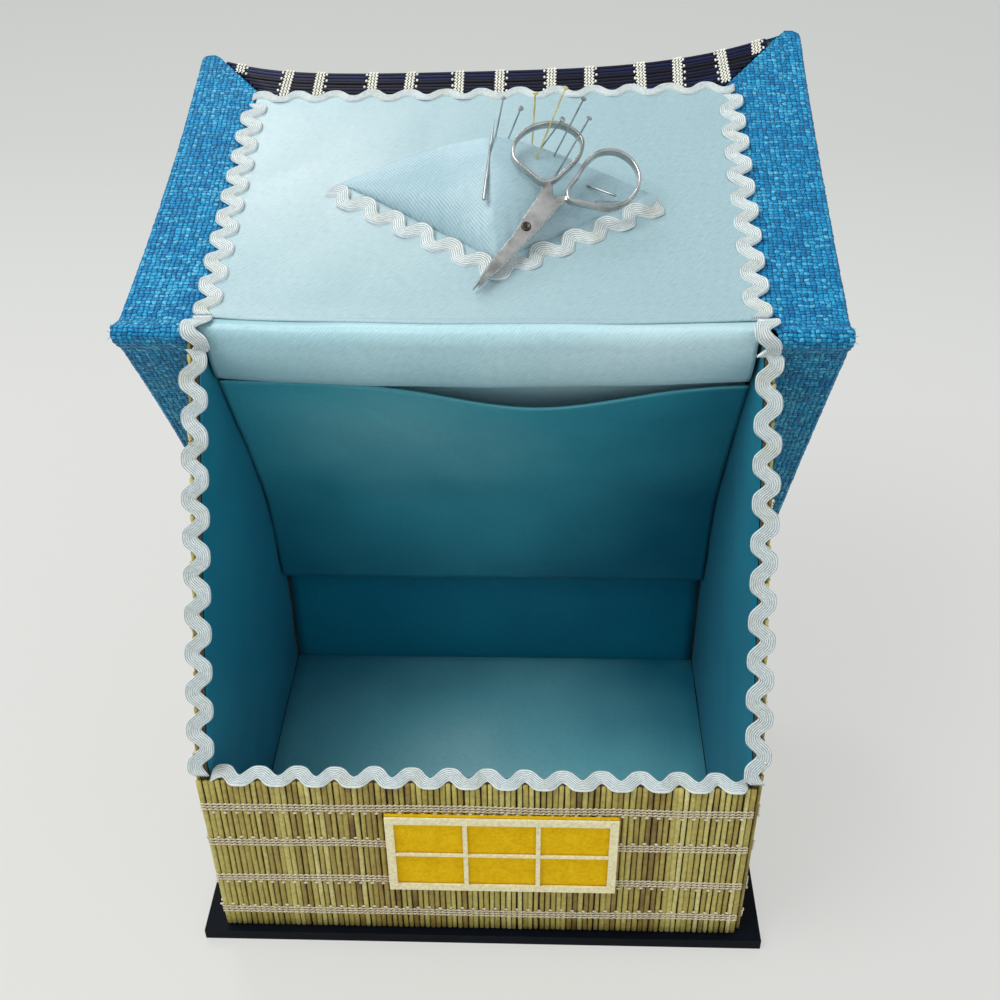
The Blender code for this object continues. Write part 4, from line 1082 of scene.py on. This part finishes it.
def rickrack(name, length, lay, seed, waves=None, lean=0.0, size=1.0):
    """A ribbed wavy braid. lay puts (run, offset, height) on its surface."""
    draw = np.random.default_rng(seed)
    waves = waves or max(1, round(length / braid_wave))
    rows, ribs = int(waves * 26) + 1, 7
    columns = ribs * 4 + 1
    run = np.linspace(0, length, rows)
    pace = 2 * math.pi * waves / length
    knots = int(waves) * 2 + 3
    wobble = np.interp(run, np.linspace(0, length, knots), draw.normal(0, 1, knots))
    turn = pace * run + 0.10 * wobble
    centre = size * braid_swing * (1 + 0.06 * wobble) * (np.sin(turn) + 0.06 * np.sin(3 * turn))
    slope = size * braid_swing * pace * np.cos(turn)
    spread = size * braid_half * np.ones_like(run)
    inside = np.clip(np.minimum(run, length - run) / (3 * mm), 0, 1)
    turned_back = 0.6 * size * braid_half * slope / np.sqrt(1 + slope**2) * inside
    q = np.linspace(-1, 1, columns)
    domed = np.abs(np.sin(math.pi * ribs * (q + 1) / 2)) ** 0.7
    body = (0.55 + 0.45 * domed) * np.clip((1 - np.abs(q)) / 0.08, 0, 1) ** 0.5
    offsets = centre[:, None] + spread[:, None] * q
    tilt = size * 0.5 * mm * q * np.sin(turn)[:, None] + 0.12 * mm * wobble[:, None]
    tilt = tilt + lean * (q + 1) / 2
    heights = 0.05 * mm + np.maximum(tilt, 0) + size * braid_thick * body
    under = np.maximum(tilt, 0)[:, [0, -1]]
    offsets = np.concatenate([offsets[:, :1], offsets, offsets[:, -1:], offsets[:, :1]], 1)
    heights = np.concatenate([under[:, :1], heights, under[:, 1:], under[:, :1]], 1)
    q_round = np.concatenate([[-1], q, [1], [-1]])
    runs = run[:, None] - turned_back[:, None] * q_round
    along = np.broadcast_to(run[:, None], offsets.shape)
    flat = np.stack([np.broadcast_to(q_round * braid_half, offsets.shape), along], -1)
    end = np.full_like(heights[:1], heights.min())
    heights = np.concatenate([end, heights, end])
    offsets = np.concatenate([offsets[:1], offsets, offsets[-1:]])
    runs = np.concatenate([runs[:1], runs, runs[-1:]])
    flat = np.concatenate([flat[:1], flat, flat[-1:]])
    points = lay(runs, offsets, heights)
    return skin(name, points[:, ::-1], flat[:, ::-1], braid)


lining_drop = 0.9 * mm


def lid_side(x):
    return lambda run, offset, height: on_lid(x + offset, 125.3 * mm - run, height - lining_drop)


def rim_slope(x):
    def lay(run, offset, height):
        down = 147.1 * mm - run
        out = height + 0.3 * mm
        y = -down * math.cos(roof_fall) - out * math.sin(roof_fall)
        z = ridge_high - down * math.sin(roof_fall) + out * math.cos(roof_fall)
        return np.stack([x - offset, y, z], -1)

    return lay


def eave_side(run, offset, height):
    return on_lid(91.9 * mm - run, 130 * mm - offset, height - lining_drop)


def front_rim(run, offset, height):
    return np.stack([89.9 * mm - run, -71.6 * mm - offset, 82.3 * mm + height], -1)


braids = (
    ("lid_left_rickrack", 115 * mm, lid_side(-90 * mm), "lid", 10, 1.0),
    ("lid_right_rickrack", 115 * mm, lid_side(90 * mm), "lid", 9.5, 1.0),
    ("lid_eave_rickrack", 183.8 * mm, eave_side, "lid", 13, 0.74),
    ("left_rim_rickrack", 142.1 * mm, rim_slope(-92.8 * mm), "box", 11, 1.0),
    ("right_rim_rickrack", 142.1 * mm, rim_slope(92.8 * mm), "box", 11, 1.0),
    ("front_rim_rickrack", 179.8 * mm, front_rim, "box", 14, 1.0),
)
for seed, (node, length, lay, body, waves, size) in enumerate(braids, 120):
    made = rickrack(node.replace("_rickrack", "_braid"), length, lay, seed, waves, 0.0, size)
    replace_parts(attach(made, body), node)

nose_places = (
    (7.0, 213.9), (3.3, 214.9), (-0.5, 215.7), (-3.2, 214.4),
    (-3.7, 211.4), (-2.9, 208.6), (-2.6, 206.9),
)
nose_line = smooth_line(nose_places, 60) * mm
nose_run = np.r_[0, np.cumsum(np.linalg.norm(np.diff(nose_line, axis=0), axis=1))]
nose_ahead = unit(np.gradient(nose_line, axis=0))


def over_nose(x):
    """The braid's short run over the nose, where it bends with the lid."""

    def lay(run, offset, height):
        spot = np.stack([np.interp(run, nose_run, nose_line[:, k]) for k in (0, 1)], -1)
        way = np.stack([np.interp(run, nose_run, nose_ahead[:, k]) for k in (0, 1)], -1)
        out = np.stack([way[..., 1], -way[..., 0]], -1)
        spot = spot + out * height[..., None]
        return np.stack([x + offset, spot[..., 0], spot[..., 1]], -1)

    return lay


for side, name in ((-1, "left"), (1, "right")):
    lay = over_nose(side * 91.6 * mm)
    turned_end = rickrack(name + "_nose_braid", nose_run[-1], lay, 130 + side, 1.5)
    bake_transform(turned_end)


# Pincushion: a triangle of the lid's satin stuffed firm, sewn to the lining along its front
# edges and drawn up to a crest behind. The stuffing pulls small puckers along the stitching.
cushion_left, cushion_right = np.array([-53.0, 78.3]), np.array([58.0, 70.3])
cushion_point = np.array([5.0, 36.3])


def cushion_surface(share, part):
    """The cushion's skin: share runs left to right, part from its front edge over the crest."""
    back = cushion_left + (cushion_right - cushion_left) * share[..., None]
    back = back + np.stack([0 * share, 13.0 * np.sin(math.pi * share)], -1)
    fold = np.clip(2 * share, 0, 1)[..., None]
    fold_on = np.clip(2 * share - 1, 0, 1)[..., None]
    front = cushion_left + (cushion_point - cushion_left) * fold
    front = front + (cushion_right - cushion_point) * fold_on
    bow_low, bow_high = math.sqrt(0.10), math.sqrt(1.10)
    bow = (np.sqrt((2 * share - 1) ** 2 + 0.10) - bow_high) / (bow_high - bow_low)
    eased = np.stack([-53.0 + 111.0 * share, 74.5 + 38.0 * bow], -1)
    front = front + (eased - front) * (0.92 * np.clip(part / 0.5, 0, 1) ** 0.7)[..., None]
    height = 19.6 * np.maximum(1 - np.sqrt((2 * share - 1) ** 2 + 0.012) ** 1.1, 0)
    crest = front + (back - front) * 0.86
    climb = np.clip(part / 0.75, 0, 1)
    fall = np.clip((part - 0.75) / 0.25, 0, 1)
    spot = front + (crest - front) * climb[..., None] + (back - crest) * fall[..., None]
    rise = np.where(part <= 0.75, np.sin(climb * math.pi / 2) ** 0.85, np.cos(fall * math.pi / 2))
    return np.concatenate([spot, (height * rise)[..., None]], -1)


share, part = np.meshgrid(np.linspace(0.003, 0.997, 170), np.linspace(0, 1, 72))
stuffed = cushion_surface(share, part)
cushion_x, cushion_down, cushion_rise = np.moveaxis(stuffed, -1, 0)
size = np.clip(cushion_rise / 8.0, 0, 1)
edge_run = share * 140
puckers = np.sin(edge_run * 1.05 + 1.3 * np.sin(edge_run * 0.31)) * np.exp(-((part / 0.16) ** 2))
tufts = ripple(cushion_x * mm, cushion_down * mm, 141, 16 * mm, 0.3 * mm) / mm
tucks = 0.32 * puckers + 0.5 * tufts
pinch = 0.45 * np.exp(-(((cushion_x - 1.5) / 3.0) ** 2) - ((cushion_down - 70) / 5.0) ** 2)
furrow_at = cushion_x + 2.5 - (cushion_down - 60) * 0.05
furrow = 0.5 * np.exp(-((furrow_at / 4.0) ** 2)) * np.clip((72 - cushion_down) / 14, 0, 1)
furrow = furrow * np.clip((cushion_down - 44) / 8, 0, 1)
drawn_at = cushion_x - 20 - (cushion_down - 60) * 0.9
drawn = 0.7 * np.exp(-((drawn_at / 4.0) ** 2)) * np.clip(part / 0.3, 0, 1)
bulk = cushion_rise + (tucks + pinch - furrow - drawn * 0.6) * size
points = on_lid(cushion_x * mm, cushion_down * mm, (bulk - 0.85) * mm)
flat = np.stack([cushion_x, -cushion_down], -1) * mm
cushion_tones = ((146, 180, 190), (162, 193, 203), (178, 206, 214))
cushion_satin = satin_finish("cushion_satin", cushion_tones, 0.36)
cushion = skin("pincushion_satin", points, flat, cushion_satin)
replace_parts(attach(cushion, "lid"), "pincushion")

vee = np.array([(-55.8, 72.4), (5.0, 30.6), (60.8, 64.4)]) * mm
vee_turn = np.linspace(0, 1, 9)[:, None]
vee_start, vee_end = (vee[1] + unit(vee[k] - vee[1]) * 4 * mm for k in (0, 2))
vee_bend = (1 - vee_turn) ** 2 * vee_start + 2 * vee_turn * (1 - vee_turn) * vee[1]
vee_bend = vee_bend + vee_turn**2 * vee_end
vee_line = np.vstack([vee[0], vee_bend, vee[2]])
vee_run = np.r_[0, np.cumsum(np.linalg.norm(np.diff(vee_line, axis=0), axis=1))]
vee_fine = np.linspace(0, vee_run[-1], 400)
vee_fine_line = np.stack([np.interp(vee_fine, vee_run, vee_line[:, k]) for k in (0, 1)], -1)
vee_ahead = unit(np.gradient(vee_fine_line, axis=0))
kernel = np.hanning(31) / np.hanning(31).sum()
vee_ahead = np.pad(vee_ahead, ((15, 15), (0, 0)), mode="edge")
vee_ahead = np.stack([np.convolve(vee_ahead[:, k], kernel, "valid") for k in (0, 1)], -1)


def round_cushion(run, offset, height):
    spot = np.stack([np.interp(run, vee_fine, vee_fine_line[:, k]) for k in (0, 1)], -1)
    way = unit(np.stack([np.interp(run, vee_fine, vee_ahead[:, k]) for k in (0, 1)], -1))
    spot = spot + np.stack([-way[..., 1], way[..., 0]], -1) * offset[..., None]
    return on_lid(spot[..., 0], spot[..., 1], height - lining_drop)


cushion_braid = rickrack("pincushion_braid", vee_run[-1], round_cushion, 143, 11, 1.0 * mm)
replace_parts(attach(cushion_braid, "lid"), "pincushion_rickrack")


# Scissors: small forged embroidery scissors. Each half is a tapered blade with ground bevels
# and a finger loop of flat strap, and the two turn on a rivet. The steel is grey with age.
old_steel = new_finish("old_steel", Metallic=1.0, Roughness=0.42)
brushed = speckle(old_steel, solid_of(old_steel), 260.0, 2.0, 0.5)
tarnish = speckle(old_steel, solid_of(old_steel), 75.0, 2.0, 0.5)
steel_tones = ramp(
    old_steel,
    mixed(old_steel, 0.35, tarnish, brushed),
    (0.3, paint(146, 146, 142)),
    (0.5, paint(190, 190, 187)),
    (0.7, paint(220, 220, 218)),
)
steel_rough = put(old_steel, "MapRange", brushed, 0.3, 0.7, 0.18, 0.30)
wire(old_steel, Base_Color=steel_tones, Roughness=steel_rough)
wire(old_steel, Normal=relief(old_steel, brushed, 0.03 * mm, 0.25))
ground_steel = new_finish("ground_steel", Metallic=1.0)
stone_marks = speckle(ground_steel, solid_of(ground_steel), 900.0, 3.0)
stone_tones = (0.3, paint(176, 176, 172)), (0.65, paint(214, 214, 210))
ground_tones = ramp(ground_steel, stone_marks, *stone_tones)
ground_rough = put(ground_steel, "MapRange", stone_marks, 0.3, 0.7, 0.22, 0.4)
wire(ground_steel, Base_Color=ground_tones, Roughness=ground_rough)
scissors_across = np.array([0.853, -0.444, -0.275])
scissors_across = scissors_across / np.linalg.norm(scissors_across)
scissors_along = np.array([0.506, 0.834, 0.221])
scissors_along = unit(scissors_along - scissors_across * (scissors_along @ scissors_across))
scissors_facing = np.cross(scissors_across, scissors_along)
rivet_place = np.array([14.2, 43.8, 7.6])


def on_scissors(across, along, lift):
    """Points given across, along and off the scissors from their rivet, in millimetres."""
    across, along, lift = np.broadcast_arrays(np.asarray(across, float), along, lift)
    spot = rivet_place + across[..., None] * scissors_across
    spot = spot + along[..., None] * scissors_along + lift[..., None] * scissors_facing
    return on_lid(spot[..., 0] * mm, spot[..., 1] * mm, spot[..., 2] * mm)


def blade_half(name, outline, low, ridge):
    """A blade with its shank: flat below, and above it ground down to thin edges."""
    outline = np.array(outline, float)
    fine = []
    for k, here in enumerate(outline):
        after = outline[(k + 1) % len(outline)]
        for t in (0.0, 0.5):
            fine.append(here + (after - here) * t)
    outline = np.array(fine)
    middle_line = np.array(ridge, float)
    levels = ((0.0, 0.0), (0.0, 0.42), (0.30, 0.86), (0.38, 1.0))
    rings = []
    for inset, height in levels:
        ring = []
        for x, y in outline:
            centre = np.interp(y, middle_line[:, 1], middle_line[:, 0])
            pull = inset * min(1.0, abs(x - centre) / 1.2) * np.sign(x - centre) * 1.6
            pull = np.sign(pull) * min(abs(pull), abs(x - centre) * 0.75)
            ring.append((x - pull, y, low + height * 1.1))
        rings.append(ring)
    points = np.array(rings).reshape(-1, 3)
    count = len(outline)
    faces = []
    for level in range(len(levels) - 1):
        for k in range(count):
            after = (k + 1) % count
            here = level * count
            faces.append((here + k, here + after, here + count + after, here + count + k))
    faces.append(tuple(reversed(range(count))))
    faces.append(tuple((len(levels) - 1) * count + k for k in range(count)))
    world = on_scissors(points[:, 0], points[:, 1], points[:, 2])
    piece = place_mesh(name, world, faces, old_steel)
    piece.data.materials.append(ground_steel)
    for number, face in enumerate(piece.data.polygons):
        if count <= number < 2 * count:
            face.material_index = 1
    piece.data.set_sharp_from_angle(angle=math.radians(24))
    return piece


def strap_loop(name, line, low):
    """A finger loop of flat strap standing on its edge."""
    closed = np.array(list(line) + [line[0]], float)
    curve = smooth_line(np.vstack([line[-1], closed, line[1]]), 150)
    gap = np.linalg.norm(curve - closed[0], axis=1)
    first, last = int(np.argmin(gap[:60])), 90 + int(np.argmin(gap[90:]))
    curve = curve[first:last]
    path = on_scissors(curve[:, 0], curve[:, 1], low + 1.8)
    facing = on_scissors(0, 0, 1.0) - on_scissors(0, 0, 0.0)
    return rods(name, [path], [facing], 0.62 * mm, 1.8 * mm, old_steel, "steel", 16, 0.5, True)


upper_outline = (
    (-1.3, -28.1), (1.2, -17.6), (2.8, -6.8), (4.1, 1.7), (4.8, 8.0), (5.0, 13.2),
    (1.4, 15.3), (-0.9, 19.4), (-2.3, 17.9), (-4.4, 17.3), (-3.0, 15.0),
    (-2.8, 7.8), (-2.6, 0.7), (-2.2, -4.8), (-3.2, -17.6),
)
lower_outline = (
    (-2.7, -29.2), (0.6, -15.0), (1.9, -5.0), (2.1, 2.0), (3.2, 9.0), (4.1, 13.0),
    (5.8, 16.2), (6.4, 18.3), (4.4, 18.4), (2.6, 17.2), (0.6, 12.0),
    (-1.8, 4.0), (-2.0, -3.0), (-2.6, -8.0), (-3.4, -19.0),
)
left_loop = (
    (-3.2, 17.3), (-10.6, 17.6), (-17.0, 19.4), (-19.6, 24.3), (-19.0, 30.9),
    (-15.5, 36.3), (-10.6, 39.6), (-5.5, 40.2), (-1.4, 38.8), (1.1, 34.0),
    (1.1, 30.0), (0.1, 24.4), (-1.1, 19.9),
)
right_loop = (
    (4.9, 19.0), (4.5, 26.5), (4.4, 33.7), (6.2, 39.1), (10.9, 42.6),
    (17.0, 42.4), (21.9, 39.0), (24.1, 34.0), (23.4, 27.4), (20.2, 22.8),
    (15.0, 20.2), (9.3, 18.0), (6.6, 17.1),
)
upper_ridge = ((-1.3, -28.1), (-1.1, -18.0), (0.3, -6.0), (0.8, 2.0), (1.1, 12.0), (-1.8, 19.0))
lower_ridge = ((-2.7, -29.2), (-1.4, -17.0), (-0.1, -4.0), (0.3, 4.0), (2.4, 13.0), (4.8, 18.5))
halves = (
    ("scissors_front", upper_outline, upper_ridge, left_loop, 0.15, "lid"),
    ("scissors_rear", lower_outline, lower_ridge, right_loop, -1.25, "scissors_half"),
)
for name, outline, ridge, line, low, body in halves:
    node = name + "_half"
    blade = blade_half(name + "_blade", outline, low, ridge)
    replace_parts(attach(blade, body), node)
    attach(strap_loop(name + "_loop", line, low), body)


def lathe(name, foot, axis, profile, finish, sides=16):
    """A round piece: profile gives (distance along the axis, radius) in millimetres."""
    axis = unit(np.array(axis, float))
    side = unit(np.cross(axis, (0.3, 0.8, 0.5)))
    other = np.cross(axis, side)
    angle = np.linspace(0, 2 * math.pi, sides, endpoint=False)
    spokes = np.cos(angle)[:, None] * side + np.sin(angle)[:, None] * other
    points = [np.asarray(foot) + axis * d * mm + spokes * r * mm for d, r in profile]
    count = len(profile)
    faces = []
    for k in range(count - 1):
        here, above = k * sides, (k + 1) * sides
        for j in range(sides):
            after = (j + 1) % sides
            faces.append((here + j, here + after, above + after, above + j))
    faces.append(tuple(reversed(range(sides))))
    faces.append(tuple((count - 1) * sides + j for j in range(sides)))
    piece = place_mesh(name, np.concatenate(points), faces, finish)
    piece.data.set_sharp_from_angle(angle=math.radians(40))
    return piece


rivet_foot = on_scissors(0, 0, -2.0)
rivet_axis = on_scissors(0, 0, 1.0) - on_scissors(0, 0, 0.0)
rivet_profile = (
    (0, 1.5), (0.3, 1.7), (0.6, 1.2), (0.6, 0.6), (3.2, 0.6), (3.2, 1.45),
    (3.5, 1.7), (3.75, 1.6), (3.85, 1.25), (3.6, 0.8), (3.45, 0.2),
)
dark_steel = new_finish("dark_steel", Metallic=1.0, Roughness=0.5)
rust = speckle(dark_steel, solid_of(dark_steel), 700.0, 4.0)
rust_tones = (0.35, paint(44, 40, 36)), (0.65, paint(98, 92, 84))
wire(dark_steel, Base_Color=ramp(dark_steel, rust, *rust_tones))
rivet = lathe("scissors_rivet_head", rivet_foot, rivet_axis, rivet_profile, dark_steel, 24)
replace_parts(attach(rivet, "lid"), "scissors_rivet")


# Pins and needles: steel pins with flat heads, two of them brass, stuck through the left loop
# into the cushion, a long needle through a pinch of the satin and two needles on the right.
def drawn_wire(name, dark, light):
    """Metal drawn to wire, a little mottled in tone and polish."""
    finish = new_finish(name, Metallic=1.0)
    wear = speckle(finish, solid_of(finish), 160.0, 1.0)
    rough = put(finish, "MapRange", wear, 0.3, 0.7, 0.3, 0.45)
    tones = ramp(finish, wear, (0.3, paint(*dark)), (0.6, paint(*light)))
    wire(finish, Base_Color=tones, Roughness=rough)
    return finish


pin_steel = drawn_wire("pin_steel", (134, 142, 144), (186, 193, 194))
pin_brass = drawn_wire("pin_brass", (208, 190, 118), (236, 224, 164))


def straight(head, foot, profile_of, name, finish, slot_name):
    """A pin or needle from foot to head, given in the lid's own millimetres."""
    top = on_lid(*(np.array(head) * mm))
    end = on_lid(*(np.array(foot) * mm))
    length = float(np.linalg.norm(top - end)) / mm
    return lathe(name, end, top - end, profile_of(length), finish, 12)


def headed(length):
    head = ((0.0, 0.9), (0.25, 1.0), (0.6, 0.95), (0.8, 0.6))
    return [(0, 0.02), (2.5, 0.30), (length - 0.2, 0.30)] + [(length + d, r) for d, r in head]


def pointed(length):
    return [(0, 0.5), (0.4, 0.7), (0.5 * length, 0.62), (0.75 * length, 0.46), (length, 0.03)]


def plain(length):
    shaft = [(0, 0.05), (0.3 * length, 0.36), (0.8 * length, 0.40)]
    return shaft + [(length - 0.4, 0.44), (length, 0.25)]


pins = (
    ((6.0, 85.3, 29.0), (3.5, 82.5, 17.0)),
    ((12.0, 78.8, 29.5), (8.0, 81.0, 16.5)),
    ((17.0, 87.6, 29.0), (16.0, 80.5, 14.5)),
    ((27.0, 83.7, 33.8), (17.0, 72.5, 12.5)),
    ((26.0, 73.3, 29.0), (19.5, 79.5, 13.5)),
    ((33.0, 77.0, 34.3), (24.0, 76.5, 12.5)),
    ((35.0, 74.3, 28.5), (24.5, 67.5, 11.0)),
)
for number, (head, entry) in enumerate(pins, 1):
    reach_in = np.array(entry) - np.array(head)
    foot = np.array(entry) + reach_in / np.linalg.norm(reach_in) * 5.0
    metal, slot_name = (pin_brass, "brass") if number in (3, 4) else (pin_steel, "steel")
    pin = straight(head, foot, headed, f"pin_{number}_wire", metal, slot_name)
    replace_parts(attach(pin, "lid"), f"pin_{number}")
needles = (
    ((2.8, 87.6, 19.6), (0.0, 52.6, 12.4), pointed),
    ((45.0, 61.3, 6.6), (31.5, 69.6, 6.0), plain),
    ((38.0, 60.3, 5.2), (47.5, 65.3, 0.9), plain),
)
for number, (head, foot, shape) in enumerate(needles, 1):
    needle = straight(head, foot, shape, f"needle_{number}_wire", pin_steel, "steel")
    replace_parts(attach(needle, "lid"), f"needle_{number}")


# Table top and light: a pale table, soft light from above and the front left, and the camera
# where the picture was taken from.
floor_mesh = bpy.data.meshes.new("table_top")
reach = 6.0
corner = [(-reach, -reach, -0.0002), (reach, -reach, -0.0002), (reach, reach, -0.0002)]
floor_mesh.from_pydata(corner + [(-reach, reach, -0.0002)], [], [(0, 1, 2, 3)])
table_top = bpy.data.objects.new("table_top", floor_mesh)
bpy.context.scene.collection.objects.link(table_top)
white_table = new_finish("white_table", Roughness=0.6)
place = put(white_table, "SeparateXYZ", solid_of(white_table), out=1)
far = put(white_table, "MapRange", place, 0.30, 0.75, 0.0, 1.0)
tables = ramp(white_table, far, (0.0, paint(216, 216, 213)), (1.0, paint(218, 219, 214)))
wire(white_table, Base_Color=tables)
# Painted light: the table shows the camera a glow of its own, paler near and greyer far, mixed in
# at 0.68 over its lit shading.
painted_glow_tones = ramp(white_table, far, (0.0, paint(221, 222, 219)), (1.0, paint(203, 206, 203)))
painted_glow = put(white_table, "Emission", painted_glow_tones, 1.0)
seen = maths(white_table, "MULTIPLY", put(white_table, "LightPath"), 0.68)
shaded = white_table.node_tree.nodes["Principled BSDF"].outputs[0]
shown = put(white_table, "MixShader", seen, shaded, painted_glow)
table_output = white_table.node_tree.nodes["Material Output"].inputs[0]
white_table.node_tree.links.new(shown, table_output)
floor_mesh.materials.append(white_table)

world = bpy.data.worlds.new("soft_room")
bpy.context.scene.world = world
world.use_nodes = True
world.node_tree.nodes["Background"].inputs[0].default_value = (0.95, 0.975, 1.0, 1.0)
world.node_tree.nodes["Background"].inputs[1].default_value = 0.66


def soft_lamp(name, spot, aim, size, power, colour):
    data = bpy.data.lights.new(name, "AREA")
    data.size = size
    data.energy = power
    data.color = colour
    lamp = bpy.data.objects.new(name, data)
    lamp.location = spot
    lamp.rotation_euler = (Vector(aim) - Vector(spot)).to_track_quat("-Z", "Y").to_euler()
    bpy.context.scene.collection.objects.link(lamp)
    return lamp


soft_lamp("key_light", (-0.55, -0.25, 1.25), (0, 0.02, 0.15), 0.7, 9.5, (1.0, 0.99, 0.96))
soft_lamp("fill_light", (0.9, -0.8, 0.8), (0, 0, 0.12), 0.9, 1.7, (0.95, 0.98, 1.0))
soft_lamp("window_light", (-0.42, 0.72, 1.05), (-0.04, 0.10, 0.25), 0.32, 2.9, (1.0, 0.99, 0.98))

pitch, yaw, roll = math.radians(35.9), math.radians(-2.0), math.radians(-0.6)
ahead = Vector((math.sin(yaw) * math.cos(pitch), math.cos(yaw) * math.cos(pitch), -math.sin(pitch)))
level = Vector((math.cos(yaw), -math.sin(yaw), 0.0))
upright = level.cross(ahead)
right = level * math.cos(roll) + upright * math.sin(roll)
upward = upright * math.cos(roll) - level * math.sin(roll)
camera_data = bpy.data.cameras.new("camera")
camera_data.sensor_width = 36.0
camera_data.lens = 36.0 * 1267.3 / 1000.0
camera_data.clip_start = 0.01
camera = bpy.data.objects.new("camera", camera_data)
turn = Matrix((right, upward, -ahead)).transposed()
camera.matrix_world = Matrix.Translation(Vector((18.5, -360.3, 407.8)) * mm) @ turn.to_4x4()
bpy.context.scene.collection.objects.link(camera)
bpy.context.scene.camera = camera
bpy.context.scene.view_settings.view_transform = "Standard"
